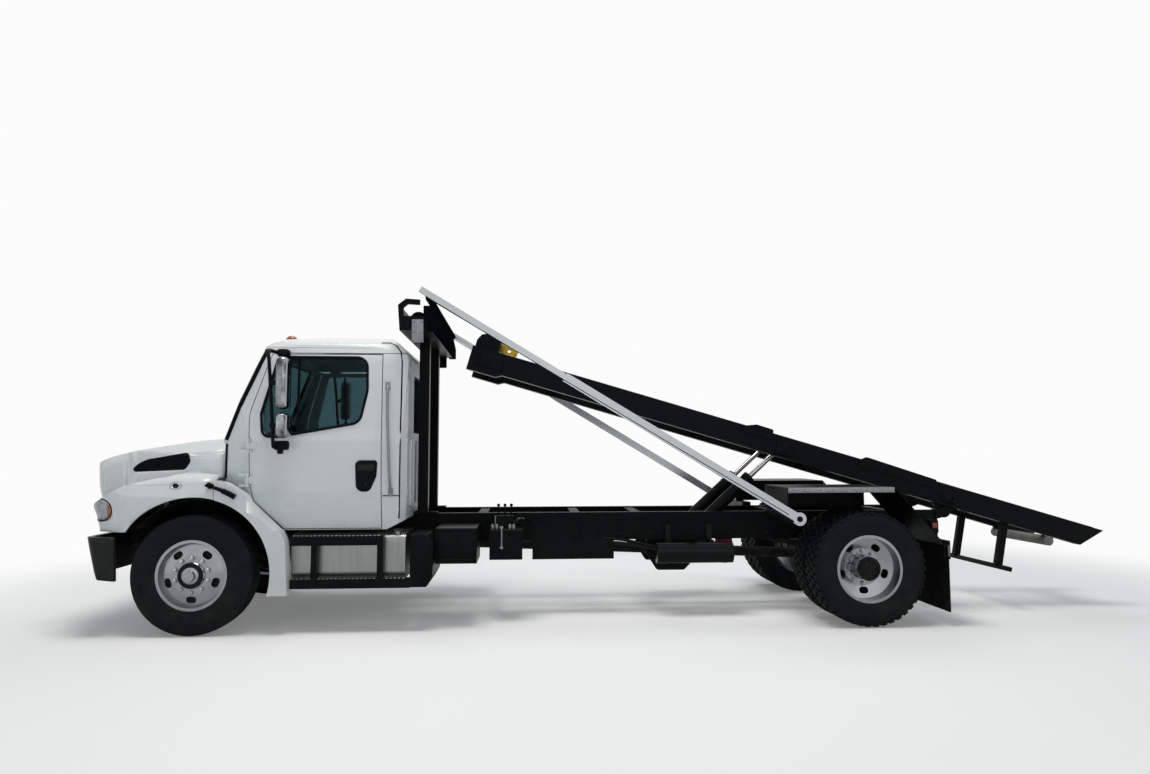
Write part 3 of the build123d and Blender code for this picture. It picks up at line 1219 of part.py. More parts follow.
def on_cylinder(along, y):
    """A point at a distance along a tilt cylinder's axis."""
    return (base_x + along * cos(cyl_turn), y, base_z + along * sin(cyl_turn))


with BuildPart() as tilt_barrels:
    for side, _ in SIDES:
        y = side * CYL_Y
        eye = CYL_EYE_W / 2
        cross_bar(base_x, base_z, y - eye, y + eye, CYL_EYE_R)
        bar(on_cylinder(barrel_at, y), on_cylinder(BARREL_LEN, y), BARREL_R)
        bar(on_cylinder(bore_at, y), on_cylinder(BARREL_LEN, y), ROD_R + SPIN_GAP, Mode.SUBTRACT)
        cross_bar(base_x, base_z, y - BARREL_R, y + BARREL_R, CYL_PIN_R + SPIN_GAP, Mode.SUBTRACT)
save(tilt_barrels.part, "tilt_barrels")

with BuildPart() as tilt_rods:
    for side, _ in SIDES:
        y = side * CYL_Y
        eye = CYL_EYE_W / 2
        bar(on_cylinder(cyl_reach - BARREL_LEN + rod_spare, y), on_cylinder(cyl_reach, y), ROD_R)
        cross_bar(pin_x, pin_z, y - eye, y + eye, CYL_EYE_R)
save(tilt_rods.part, "tilt_rods")
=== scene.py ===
# %% [markdown]
# # Dressing a roll-off truck
# The solids come from the CAD model and stay where they are. This lesson gives every solid
# a finish, and adds what is too small for CAD: treads, nuts, seals, straps, lamps and hoses.

# %% Load the frame
import json
import math

import bpy
from mathutils import Matrix, Vector

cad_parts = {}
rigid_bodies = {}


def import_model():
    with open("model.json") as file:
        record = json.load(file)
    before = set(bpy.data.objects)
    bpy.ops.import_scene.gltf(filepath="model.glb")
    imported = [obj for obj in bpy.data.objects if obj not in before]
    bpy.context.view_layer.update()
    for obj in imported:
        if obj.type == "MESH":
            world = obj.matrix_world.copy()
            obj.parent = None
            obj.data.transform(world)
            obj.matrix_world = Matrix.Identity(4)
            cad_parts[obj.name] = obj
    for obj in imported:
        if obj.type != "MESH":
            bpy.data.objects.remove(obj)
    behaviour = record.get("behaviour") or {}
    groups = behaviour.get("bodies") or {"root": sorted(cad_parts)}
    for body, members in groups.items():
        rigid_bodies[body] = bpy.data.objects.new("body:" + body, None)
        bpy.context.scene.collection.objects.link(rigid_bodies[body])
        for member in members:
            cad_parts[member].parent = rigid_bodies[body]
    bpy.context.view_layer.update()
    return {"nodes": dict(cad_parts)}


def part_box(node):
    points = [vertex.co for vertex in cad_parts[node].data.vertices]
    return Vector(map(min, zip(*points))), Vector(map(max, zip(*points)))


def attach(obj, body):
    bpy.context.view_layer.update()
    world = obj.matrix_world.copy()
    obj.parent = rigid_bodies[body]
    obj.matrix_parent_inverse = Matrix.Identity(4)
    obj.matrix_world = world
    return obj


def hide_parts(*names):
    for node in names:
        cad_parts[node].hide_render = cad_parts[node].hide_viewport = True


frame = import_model()

# %% [markdown]
# The photograph fixes the camera. Its place and lens came from fitting wheels, rails and roof
# line with a pinhole model, so a point of the truck lands on the same pixel in the picture.

# %% Camera
FRONT_AXLE = Vector((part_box("front_tyre_left")[0][0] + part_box("front_tyre_left")[1][0], 0, 0)) / 2
PHOTO_WIDE, FOCAL = 1150, 799.34  # pixels
SENSOR = 36.0  # millimetres
CAMERA_AT = (-2.797, 8.161, 1.541)
CAMERA_TURN = (-3.645, 4.633, 0.096)  # yaw, pitch and roll in degrees


def station(x, y, z):
    """A point given from the front axle, in metres."""
    return Vector((FRONT_AXLE.x + x, y, z))


yaw, pitch, roll = (math.radians(a) for a in CAMERA_TURN)
look = Vector((math.sin(yaw) * math.cos(pitch), -math.cos(yaw) * math.cos(pitch), math.sin(pitch)))
camera_data = bpy.data.cameras.new("photo_camera")
camera_data.sensor_width = SENSOR
camera_data.sensor_fit = "HORIZONTAL"
camera_data.lens = FOCAL * SENSOR / PHOTO_WIDE
camera = bpy.data.objects.new("photo_camera", camera_data)
bpy.context.scene.collection.objects.link(camera)
turn = look.to_track_quat("-Z", "Y").to_matrix().to_4x4() @ Matrix.Rotation(-roll, 4, "Z")
camera.matrix_world = Matrix.Translation(station(*CAMERA_AT)) @ turn
bpy.context.scene.camera = camera
print("camera at", tuple(round(v, 3) for v in camera.location))

# %% [markdown]
# A studio stands in for the yard: a pale floor, a soft sky and three large lamps. The world is
# white to the camera and to glossy rays, and gives only a gentle fill otherwise.

# %% Sky
WHITE = (0.97, 0.97, 0.97, 1)
FILL, FILL_LEVEL = (0.86, 0.97, 1.0, 1), 0.26


def values(made, **labels):
    """Set a node's plain inputs; an underscore stands for a space."""
    for label, value in labels.items():
        made.inputs[label.replace("_", " ")].default_value = value


def node(tree, kind, operation=None, **labels):
    """A new shader node with its operation and plain inputs."""
    made = tree.nodes.new("ShaderNode" + kind)
    if operation:
        made.operation = operation
    values(made, **labels)
    return made


def wire(tree, *rows):
    """Link sockets; a row is a node, its output, the next node and its input."""
    for source, output, target, socket in rows:
        tree.links.new(source.outputs[output], target.inputs[socket])


bpy.context.scene.view_settings.view_transform = "Standard"
world = bpy.data.worlds.new("studio_sky")
bpy.context.scene.world = world
world.use_nodes = True
sky = world.node_tree
sky.nodes.clear()
paths, mix, out = node(sky, "LightPath"), node(sky, "MixShader"), node(sky, "OutputWorld")
fill = node(sky, "Background", Color=FILL, Strength=FILL_LEVEL)
white = node(sky, "Background", Color=WHITE)
direct, seen = node(sky, "Math", "MAXIMUM"), node(sky, "Math", "MAXIMUM")
wire(sky, (paths, "Is Camera Ray", direct, 0), (paths, "Is Glossy Ray", direct, 1), (direct, 0, seen, 0),
     (paths, "Is Transmission Ray", seen, 1), (seen, 0, mix, 0), (fill, 0, mix, 1), (white, 0, mix, 2),
     (mix, 0, out, "Surface"))
print("sky:", world.name)

# %% [markdown]
# The lamp overhead gives the shadow below the truck, the one behind an edge to the roof, and the
# one at the side only lifts the dark frame. The floor is a wide plane that is not part of the truck.

# %% Lamps and floor
FLOOR_SIZE, FLOOR_DROP = 120, 0.001


def lamp(name, place, aim, size, power, colour=(1, 1, 1)):
    """A large soft area lamp that points at a spot."""
    data = bpy.data.lights.new(name, "AREA")
    data.shape = "RECTANGLE"
    data.size, data.size_y = size
    data.energy = power
    data.color = colour
    item = bpy.data.objects.new(name, data)
    bpy.context.scene.collection.objects.link(item)
    way = (Vector(aim) - Vector(place)).to_track_quat("-Z", "Y").to_matrix().to_4x4()
    item.matrix_world = Matrix.Translation(place) @ way


lamp("overhead", (2, 2, 11), (0.5, 0, 0), (5, 4), 640, (1.0, 0.98, 0.95))
lamp("side", (-4, 12, 6), (-0.5, 0, 1), (10, 5), 70)
lamp("back", (-2, -7, 10), (0, 0, 1), (9, 5), 220, (0.92, 0.97, 1.0))
bpy.ops.object.select_all(action="DESELECT")
bpy.ops.mesh.primitive_plane_add(size=FLOOR_SIZE, location=(0, 0, -FLOOR_DROP))
floor = bpy.context.object
floor.name = "studio_floor"
print("lamps:", [item.name for item in bpy.data.lights])

# %% [markdown]
# Paint, steel and rubber share two effects, so each is a node group. The first is a slow mottle that
# stops a surface from being one flat colour or one flat gloss.

# %% Mottle
COLOUR, FLOAT, VECTOR = "NodeSocketColor", "NodeSocketFloat", "NodeSocketVector"


def group(name, inputs, outputs):
    """A shader node group with named sockets."""
    tree = bpy.data.node_groups.new(name, "ShaderNodeTree")
    for label, kind, value in inputs:
        socket = tree.interface.new_socket(label, in_out="INPUT", socket_type=kind)
        socket.default_value = value
    for label, kind in outputs:
        tree.interface.new_socket(label, in_out="OUTPUT", socket_type=kind)
    return tree, tree.nodes.new("NodeGroupInput"), tree.nodes.new("NodeGroupOutput")


mottle, g_in, g_out = group(
    "mottle",
    [("Vector", VECTOR, (0, 0, 0)), ("Colour", COLOUR, (1, 1, 1, 1)), ("Scale", FLOAT, 3.0),
     ("Amount", FLOAT, 0.1), ("Roughness", FLOAT, 0.4), ("Spread", FLOAT, 0.1)],
    [("Colour", COLOUR), ("Roughness", FLOAT), ("Height", FLOAT)])
noise, dark = node(mottle, "TexNoise", Detail=6), node(mottle, "Mix")
dark.data_type, dark.blend_type = "RGBA", "MULTIPLY"
shade = node(mottle, "MapRange", From_Min=0.3, From_Max=0.7)
centre, rough = node(mottle, "Math", "SUBTRACT"), node(mottle, "Math", "MULTIPLY_ADD")
centre.inputs[1].default_value = 0.5
wire(mottle, (g_in, "Vector", noise, "Vector"), (g_in, "Scale", noise, "Scale"), (g_in, "Amount", dark, 0),
     (g_in, "Colour", dark, 6), (noise, "Fac", shade, "Value"), (shade, "Result", dark, 7),
     (dark, 2, g_out, "Colour"), (noise, "Fac", centre, 0), (centre, 0, rough, 0),
     (g_in, "Spread", rough, 1), (g_in, "Roughness", rough, 2), (rough, 0, g_out, "Roughness"),
     (noise, "Fac", g_out, "Height"))
print("group:", mottle.name)

# %% [markdown]
# The second is road dust. It gathers low on the truck, in patches, and makes the paint dull there.

# %% Road dust
DUST, DUST_ROUGH = (0.30, 0.27, 0.23, 1), 0.85
dust, g_in, g_out = group(
    "road_dust",
    [("Vector", VECTOR, (0, 0, 0)), ("Colour", COLOUR, (1, 1, 1, 1)), ("Roughness", FLOAT, 0.4),
     ("Dust", COLOUR, DUST), ("Top", FLOAT, 1.1), ("Amount", FLOAT, 0.4)],
    [("Colour", COLOUR), ("Roughness", FLOAT)])
axes = node(dust, "SeparateXYZ")
height = node(dust, "MapRange", From_Min=0.2, To_Min=1.0, To_Max=0.0)
patch = node(dust, "TexNoise", Scale=7, Detail=8)
patchy = node(dust, "MapRange", From_Min=0.35, From_Max=0.75)
much, amount = node(dust, "Math", "MULTIPLY"), node(dust, "Math", "MULTIPLY")
coat, dull = node(dust, "Mix"), node(dust, "Mix")
coat.data_type, dull.data_type = "RGBA", "FLOAT"
dull.inputs[3].default_value = DUST_ROUGH
wire(dust, (g_in, "Vector", axes, 0), (axes, "Z", height, "Value"), (g_in, "Top", height, "From Max"),
     (g_in, "Vector", patch, "Vector"), (patch, "Fac", patchy, "Value"), (height, "Result", much, 0),
     (patchy, "Result", much, 1), (much, 0, amount, 0), (g_in, "Amount", amount, 1), (amount, 0, coat, 0),
     (g_in, "Colour", coat, 6), (g_in, "Dust", coat, 7), (coat, 2, g_out, "Colour"), (amount, 0, dull, 0),
     (g_in, "Roughness", dull, 2), (dull, 0, g_out, "Roughness"))
print("group:", dust.name)

# %% [markdown]
# One function mixes each finish from those groups. The colour and roughness change over the
# surface; the plain numbers, such as metal, coat and gloss, sit on the shader itself. Blacks have
# little gloss, because the white studio would grey them.

# %% Finishes
RELIEF = 0.004
JET = (0.004, 0.005, 0.006)
finishes = {}


def finish(name, colour, rough, metal=0.0, coat=0.0, scale=3.0, amount=0.12, spread=0.12, dusty=0.3,
           top=1.1, bump=0.0, stretch=(1, 1, 1), gloss=0.4):
    """A procedural finish: mottled colour, uneven gloss and road dust."""
    made = finishes[name] = bpy.data.materials.new(name)
    made.use_nodes = True
    tree = made.node_tree
    shader = tree.nodes["Principled BSDF"]
    values(shader, Metallic=metal, Coat_Weight=coat, Specular_IOR_Level=gloss)
    place, map_ = node(tree, "TexCoord"), node(tree, "Mapping", Scale=stretch)
    speck, road = node(tree, "Group"), node(tree, "Group")
    speck.node_tree, road.node_tree = mottle, dust
    values(speck, Colour=(*colour, 1), Scale=scale, Amount=amount, Roughness=rough, Spread=spread)
    values(road, Amount=dusty, Top=top)
    wire(tree, (place, "Object", map_, "Vector"), (map_, "Vector", speck, "Vector"),
         (place, "Object", road, "Vector"), (speck, "Colour", road, "Colour"),
         (speck, "Roughness", road, "Roughness"), (road, "Colour", shader, "Base Color"),
         (road, "Roughness", shader, "Roughness"))
    if bump:
        relief = node(tree, "Bump", Strength=bump, Distance=RELIEF)
        wire(tree, (speck, "Height", relief, "Height"), (relief, "Normal", shader, "Normal"))
    return made


finish("white_paint", (0.74, 0.78, 0.78), 0.28, coat=0.25, scale=2, amount=0.04, dusty=0.1, top=1.0)
finish("black_paint", JET, 0.36, scale=5, amount=0.3, dusty=0.02, top=1.2, gloss=0.06)
finish("chassis_black", JET, 0.45, scale=6, amount=0.3, dusty=0.03, top=1.2, gloss=0.05)
finish("gloss_black", JET, 0.16, scale=5, amount=0.3, dusty=0.0, gloss=0.12)
finish("bumper_black", (0.012, 0.014, 0.014), 0.42, scale=8, amount=0.2, dusty=0.08, gloss=0.15)
finish("cast_metal", (0.010, 0.011, 0.012), 0.6, scale=14, amount=0.4, dusty=0.1, bump=0.3, gloss=0.08)
finish("mill_aluminium", (0.46, 0.49, 0.50), 0.26, metal=1, scale=6, amount=0.05, spread=0.05, dusty=0.05,
       stretch=(0.5, 2, 2))
finish("tank_aluminium", (0.30, 0.305, 0.31), 0.3, metal=1, scale=22, amount=0.18, dusty=0.15, bump=0.02,
       stretch=(1.2, 0.4, 0.1))
finish("polished_wheel", (0.33, 0.345, 0.36), 0.24, metal=1, scale=9, amount=0.15, dusty=0.05, top=1.0)
finish("chrome", (0.42, 0.43, 0.44), 0.1, metal=1, scale=4, amount=0.08, dusty=0.05)
finish("tyre_rubber", (0.008, 0.010, 0.012), 0.7, scale=12, amount=0.3, dusty=0.05, top=0.9, bump=0.1,
       gloss=0.1)
finish("black_rubber", JET, 0.6, scale=20, amount=0.2, dusty=0.05, gloss=0.06)
finish("black_plastic", (0.005, 0.006, 0.007), 0.5, scale=40, amount=0.2, dusty=0.05, bump=0.15, gloss=0.07)
finish("dash_plastic", (0.03, 0.03, 0.033), 0.6, scale=60, amount=0.2, dusty=0.0, bump=0.2, gloss=0.2)
finish("seat_cloth", (0.05, 0.053, 0.06), 0.9, scale=120, amount=0.35, dusty=0.0, bump=0.4, gloss=0.1)
finish("tarp_cloth", (0.14, 0.145, 0.15), 0.8, scale=60, amount=0.3, dusty=0.0, bump=0.3, gloss=0.2)
finish("tarp_black", (0.005, 0.006, 0.007), 0.9, scale=50, amount=0.3, dusty=0.02, bump=0.2, gloss=0.0)
finish("yellow_paint", (0.70, 0.46, 0.02), 0.4, scale=10, amount=0.25, dusty=0.0)
finish("amber_lens", (0.34, 0.085, 0.008), 0.18, coat=0.4, scale=60, amount=0.3, dusty=0.1)
finish("red_lens", (0.34, 0.010, 0.010), 0.18, coat=0.4, scale=60, amount=0.3, dusty=0.1)
finish("clear_lens", (0.34, 0.37, 0.39), 0.1, metal=0.5, coat=0.5, scale=30, amount=0.4, dusty=0.1)
finish("mirror_face", (0.30, 0.33, 0.35), 0.05, metal=1, scale=3, amount=0.05, spread=0.02, dusty=0.0)
finish("mirror_chrome", (0.40, 0.42, 0.43), 0.12, metal=1, scale=15, amount=0.9, spread=0.1, dusty=0.0,
       stretch=(1, 1, 0.6))
finish("red_paint", (0.36, 0.012, 0.018), 0.4, scale=12, amount=0.25, dusty=0.2)
finish("chequer", (0.30, 0.31, 0.32), 0.35, metal=1, scale=90, amount=0.6, spread=0.3, dusty=0.1, bump=0.5)
finish("worn_plate", (0.20, 0.195, 0.18), 0.6, metal=0.3, scale=18, amount=0.35, dusty=0.1, bump=0.2)
finish("grey_steel", (0.24, 0.25, 0.26), 0.4, metal=0.9, scale=14, amount=0.2, dusty=0.1)
print("finishes:", sorted(finishes))

# %% [markdown]
# The floor is pale and matt where the truck stands, so it takes the shadow. Further out it
# fades into the white of the sky, so that no horizon cuts through the picture.

# %% Studio floor
FADE_NEAR, FADE_FAR, LIFT = 5.0, 9.0, 0.16
ground = finish("studio_ground", (0.90, 0.90, 0.90), 0.9, scale=0.6, amount=0.02, dusty=0.0, gloss=0.0)
tree = ground.node_tree
matt = tree.nodes["Principled BSDF"]
values(matt, Emission_Color=(1, 1, 1, 1))
rays, lift = node(tree, "LightPath"), node(tree, "Math", "MULTIPLY")
lift.inputs[1].default_value = LIFT
where, reach = node(tree, "TexCoord"), node(tree, "VectorMath", "LENGTH")
fade = node(tree, "MapRange", From_Min=FADE_NEAR, From_Max=FADE_FAR)
fade.interpolation_type = "SMOOTHSTEP"
glow, blend = node(tree, "Emission", Color=WHITE), node(tree, "MixShader")
wire(tree, (rays, "Is Camera Ray", lift, 0), (lift, 0, matt, "Emission Strength"),
     (where, "Object", reach, 0), (reach, "Value", fade, "Value"), (fade, "Result", blend, 0),
     (matt, "BSDF", blend, 1), (glow, "Emission", blend, 2),
     (blend, "Shader", tree.nodes["Material Output"], "Surface"))
floor.data.materials.append(ground)
print("floor fades from", FADE_NEAR, "to", FADE_FAR)

# %% [markdown]
# Truck glass is tinted and a little smeared. The tint and the transmission stay plain on the
# shader; only the roughness follows a faint noise, like a wiped film.

# %% Glass
TINT = (0.16, 0.25, 0.27, 1)
pane = finishes["window_glass"] = bpy.data.materials.new("window_glass")
pane.use_nodes = True
tree = pane.node_tree
shader = tree.nodes["Principled BSDF"]
values(shader, Base_Color=TINT, Transmission_Weight=1.0, IOR=1.15)
where, film = node(tree, "TexCoord"), node(tree, "TexNoise", Scale=3)
haze = node(tree, "MapRange", To_Min=0.0, To_Max=0.04)
wire(tree, (where, "Object", film, "Vector"), (film, "Fac", haze, "Value"),
     (haze, "Result", shader, "Roughness"))
print("glass tint:", TINT)

# %% [markdown]
# Every CAD solid gets its finish by name. The list reads like a paint plan of the truck.

# %% Paint plan
paint_plan = {
    "white_paint": "hood cab_roof cab_back cab_front cab_floor door_left door_right quarter_fenders",
    "black_paint": "hoist_frame gantry_posts tarp_tray frame_boxes winch_head side_steps "
                   "tilt_barrels rear_fenders outriggers exhaust_box",
    "chassis_black": "ladder_frame hoist_mounts underride_guard",
    "gloss_black": "air_tanks",
    "bumper_black": "bumper",
    "cast_metal": "engine front_axle rear_axle knuckle_left knuckle_right control_valve",
    "mill_aluminium": "tarp_arms",
    "tank_aluminium": "fuel_tank",
    "polished_wheel": "front_rim_left front_rim_right rear_rims_left rear_rims_right",
    "tyre_rubber": "front_tyre_left front_tyre_right rear_tyres_left rear_tyres_right",
    "black_rubber": "mudflaps",
    "black_plastic": "mirror_left mirror_right grille hood_vents tail_lamps",
    "amber_lens": "roof_lamps",
    "dash_plastic": "dashboard",
    "seat_cloth": "seats",
    "tarp_cloth": "tarp_roll",
    "yellow_paint": "pull_block",
    "chrome": "tilt_rods grab_bars",
    "worn_plate": "tail_roller",
    "clear_lens": "headlamps",
    "window_glass": "cab_glass door_glass_left door_glass_right",
}
for label, names in paint_plan.items():
    for name in names.split():
        solid = frame["nodes"][name]
        solid.data.materials.clear()
        solid.data.materials.append(finishes[label])
painted = " ".join(paint_plan.values()).split()
print("painted:", len(painted), "bare:", sorted(set(frame["nodes"]) - set(painted)))

# %% [markdown]
# ## Bench tools
# The small pieces below start as a primitive, are shaped in edit mode and end as meshes at the
# origin, with their place inside. These few tools keep the later lessons short.

# %% Bench: pick and settle


def fresh():
    """Back to object mode with nothing selected."""
    if bpy.context.mode != "OBJECT":
        bpy.ops.object.mode_set(mode="OBJECT")
    bpy.ops.object.select_all(action="DESELECT")


def pick(*items):
    """Select these pieces; the last one is active."""
    fresh()
    for item in items:
        item.select_set(True)
        bpy.context.view_layer.objects.active = item


def bake_place():
    """Put the place, turn and size of the picked pieces into their meshes."""
    bpy.ops.object.transform_apply(location=True, rotation=True, scale=True)


def edit(item):
    """Go into edit mode with everything selected."""
    pick(item)
    bpy.ops.object.mode_set(mode="EDIT")
    bpy.ops.mesh.select_all(action="SELECT")


def settle(item, name, label, body, angle=32):
    """Name a finished piece, put its place into its mesh, give it a finish and a body."""
    pick(item)
    bake_place()
    bpy.ops.object.shade_smooth_by_angle(angle=math.radians(angle))
    item.name = item.data.name = name
    item.data.materials.clear()
    item.data.materials.append(finishes[label])
    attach(item, body)
    print(name, "on", body, "faces:", len(item.data.polygons))
    return item


# %% [markdown]
# Truck parts repeat: left and right, round a wheel, side by side. So a piece is made once, and
# these tools copy, turn, mirror and join it.

# %% Bench: copies


def merge(*items):
    """Join pieces into one."""
    pick(*items)
    bpy.ops.object.join()
    return bpy.context.object


def twin_of(item):
    """A copy of a piece with its own mesh, left selected."""
    pick(item)
    bpy.ops.object.duplicate()
    return bpy.context.object


def moved(item, step):
    """A copy of a piece, moved by a step."""
    twin = twin_of(item)
    bpy.ops.transform.translate(value=step)
    return twin


def turned(item, angle, axis, centre):
    """A copy of a piece, turned about an axis through a centre."""
    twin = twin_of(item)
    spot = Matrix.Translation(centre)
    twin.data.transform(spot @ Matrix.Rotation(angle, 4, axis) @ spot.inverted())
    return twin


def around(item, count, axis, centre):
    """A ring of copies about an axis, joined into one piece."""
    return merge(*[turned(item, math.tau * n / count, axis, centre) for n in range(1, count)], item)


def mirrored(item):
    """A copy of a piece on the other side of the truck."""
    twin = twin_of(item)
    edit(twin)
    bpy.ops.transform.resize(value=(1, -1, 1), center_override=(0, 0, 0))
    bpy.ops.mesh.normals_make_consistent(inside=False)
    fresh()
    return twin


def both(item, name, label, bodies, angle=32):
    """Settle a piece on the left and its mirror image on the right."""
    twin = mirrored(item)
    return (settle(item, name + "_left", label, bodies[0], angle),
            settle(twin, name + "_right", label, bodies[1], angle))


DOORS = ("door_left", "door_right")
FRONT_WHEELS = ("front_wheel_left", "front_wheel_right")
REAR_WHEELS = ("rear_wheels_left", "rear_wheels_right")
HOOD = ("hood", "hood")
CHASSIS = ("chassis", "chassis")
HOIST = ("hoist", "hoist")

# %% [markdown]
# A brick is a stretched cube with eased edges, because a sharp edge never catches the light.

# %% Bench: brick and slab


def eased(item, edge, steps=1):
    """Bevel all edges of a piece."""
    edit(item)
    bpy.ops.mesh.bevel(offset=edge, segments=steps, affect="EDGES")
    fresh()
    return item


def brick(low, high, edge=0.004, steps=2):
    """A cube stretched between two corners, its edges rounded."""
    fresh()
    low, high = Vector(low), Vector(high)
    bpy.ops.mesh.primitive_cube_add(size=1, location=(low + high) / 2, scale=high - low)
    bake_place()
    return eased(bpy.context.object, edge, steps)


def slab(low, high, edge=0.004, steps=2):
    """A brick between two corners given from the front axle."""
    return brick(station(*low), station(*high), edge, steps)


# %% [markdown]
# Round pieces are a section spun about an axis, like wood on a lathe. Flat ones are an outline that
# is filled and pushed along a line. Both start as a chain of points.

# %% Bench: lathe and prism
WELD = 0.0001


def chain(places):
    """A row of vertices and edges through these places, extruded one by one in edit mode."""
    fresh()
    bpy.ops.mesh.primitive_plane_add(size=0.01, location=places[0])
    bake_place()
    item = bpy.context.object
    edit(item)
    bpy.ops.mesh.merge(type="CENTER")
    for before, after in zip(places, places[1:]):
        bpy.ops.mesh.extrude_vertices_move(TRANSFORM_OT_translate={"value": Vector(after) - Vector(before)})
    bpy.ops.mesh.select_all(action="SELECT")
    return item


def lathe(section, centre, axis=(0, 1, 0), steps=64):
    """Turn a section of (radius, way along the axis) about an axis through a centre."""
    axis = Vector(axis).normalized()
    side = axis.orthogonal().normalized()
    item = chain([Vector(centre) + side * r + axis * a for r, a in section])
    bpy.ops.mesh.spin(steps=steps, angle=math.tau, center=centre, axis=axis)
    bpy.ops.mesh.select_all(action="SELECT")
    bpy.ops.mesh.remove_doubles(threshold=WELD)
    bpy.ops.mesh.normals_make_consistent(inside=False)
    fresh()
    return item


def prism(places, way, edge=0.0, steps=2):
    """A flat outline filled, extruded along a way and bevelled."""
    item = chain(places)
    bpy.ops.mesh.edge_face_add()
    bpy.ops.mesh.extrude_region_move(TRANSFORM_OT_translate={"value": way})
    bpy.ops.mesh.select_all(action="SELECT")
    bpy.ops.mesh.normals_make_consistent(inside=False)
    if edge:
        bpy.ops.mesh.bevel(offset=edge, segments=steps, affect="EDGES")
    fresh()
    return item


# %% [markdown]
# Bars and hoses are curves with a round section, made into meshes. An outline with rounded corners
# helps with windows and plates.

# %% Bench: tube and rounded outline


def tube(places, radius, closed=False, bend=False):
    """A round bar along places, drawn as a curve and made a mesh."""
    fresh()
    data = bpy.data.curves.new("bar", "CURVE")
    data.dimensions = "3D"
    data.bevel_depth = radius
    data.bevel_resolution = 3
    data.use_fill_caps = not closed
    line = data.splines.new("NURBS" if bend else "POLY")
    line.points.add(len(places) - 1)
    for slot, place in zip(line.points, places):
        slot.co = (*place, 1)
    line.order_u = 3
    line.use_cyclic_u = closed
    line.use_endpoint_u = not closed
    item = bpy.data.objects.new("bar", data)
    bpy.context.scene.collection.objects.link(item)
    pick(item)
    bpy.ops.object.convert(target="MESH")
    return bpy.context.object


def rounded(corners, steps=5):
    """A closed outline of corners (x, z, radius) as a row of (x, z) places."""
    row = []
    for n, (x, z, radius) in enumerate(corners):
        here = Vector((x, z))
        before = (Vector(corners[n - 1][:2]) - here).normalized()
        after = (Vector(corners[(n + 1) % len(corners)][:2]) - here).normalized()
        half = before.angle(after) / 2
        reach = radius / math.tan(half)
        middle = here + (before + after).normalized() * radius / math.sin(half)
        start, end = here + before * reach - middle, here + after * reach - middle
        row += [middle + start.lerp(end, k / steps).normalized() * radius for k in range(steps + 1)]
    return row


# %% [markdown]
# Rays that fall on the truck's skin give the places where seals and lamps lie, so that nothing
# floats or sinks. When a panel is reshaped, its new skin takes the place of the solid here.

# %% Bench: touch
FAR, ABOVE = 3.0, 5
INWARD, DOWN = (0, -1, 0), (0, 0, -1)
skin = dict(frame["nodes"])


def touch(names, start, way):
    """The first place where a ray meets one of these skins."""
    hits = []
    for name in names:
        solid = skin[name]
        back = solid.matrix_world.inverted()
        hit, place, _, _ = solid.ray_cast(back @ Vector(start), back.to_3x3() @ Vector(way))
        if hit:
            hits.append(solid.matrix_world @ place)
    return min(hits, key=lambda place: (place - Vector(start)).length)


def beside(names, x, z, out=0.0):
    """A place on the left skin of these solids, seen from the side, lifted by out."""
    return touch(names, station(x, FAR, z), INWARD) + Vector((0, out, 0))


def laid(names, line, out, radius, **kind):
    """A bar along (x, z) places on the left skin of these solids."""
    return tube([beside(names, x, z, out) for x, z in line], radius, **kind)


print("bench ready:", touch(["cab_roof"], station(-1.0, 0, ABOVE), DOWN))

# %% [markdown]
# ## Reshaped panels
# A few panels differ a little from the photograph: the nose is blunter, the bumper leans back
# below, the roof is crowned higher. Copies of the solids are dressed with a lattice, a cage whose
# points pull the metal the way a panel beater would.

# %% Lattice bench


def copied(name, cuts=0):
    """A copy of a CAD solid with its loose triangles merged, cut finer if it is to bend."""
    item = twin_of(frame["nodes"][name])
    bpy.ops.object.parent_clear(type="CLEAR_KEEP_TRANSFORM")
    edit(item)
    bpy.ops.mesh.remove_doubles(threshold=WELD / 2)
    if cuts:
        bpy.ops.mesh.subdivide(number_cuts=cuts)
    fresh()
    return item


def applied(item, name):
    """Turn a modifier of a piece into plain mesh."""
    pick(item)
    bpy.ops.object.modifier_apply(modifier=name)


def share(value, start, end):
    """How far a value is on its way from start to end, held between 0 and 1."""
    return min(max((value - start) / (end - start), 0.0), 1.0)


def dressed(name, new_name, label, body, box, counts, pull):
    """Replace a solid by a copy that a lattice has pulled into shape."""
    item = copied(name, cuts=3)
    low, high = (station(*corner) for corner in box)
    bpy.ops.object.add(type="LATTICE", location=(low + high) / 2)
    cage = bpy.context.object
    span = high - low
    cage.scale = span
    cage.data.points_u, cage.data.points_v, cage.data.points_w = counts
    for point in cage.data.points:
        place = cage.location + point.co * span - FRONT_AXLE
        step = Vector(pull(place.x, place.y, place.z))
        point.co_deform = point.co + Vector(s / w for s, w in zip(step, span))
    item.modifiers.new("cage", "LATTICE").object = cage
    applied(item, "cage")
    bpy.data.objects.remove(cage)
    skin[name] = settle(item, new_name, label, body)
    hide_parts(name)


# %% [markdown]
# The nose is pulled forward and out at its corners, the bumper's foot goes back and the roof goes
# up. Each pull is a small function of the place, in metres from the front axle.

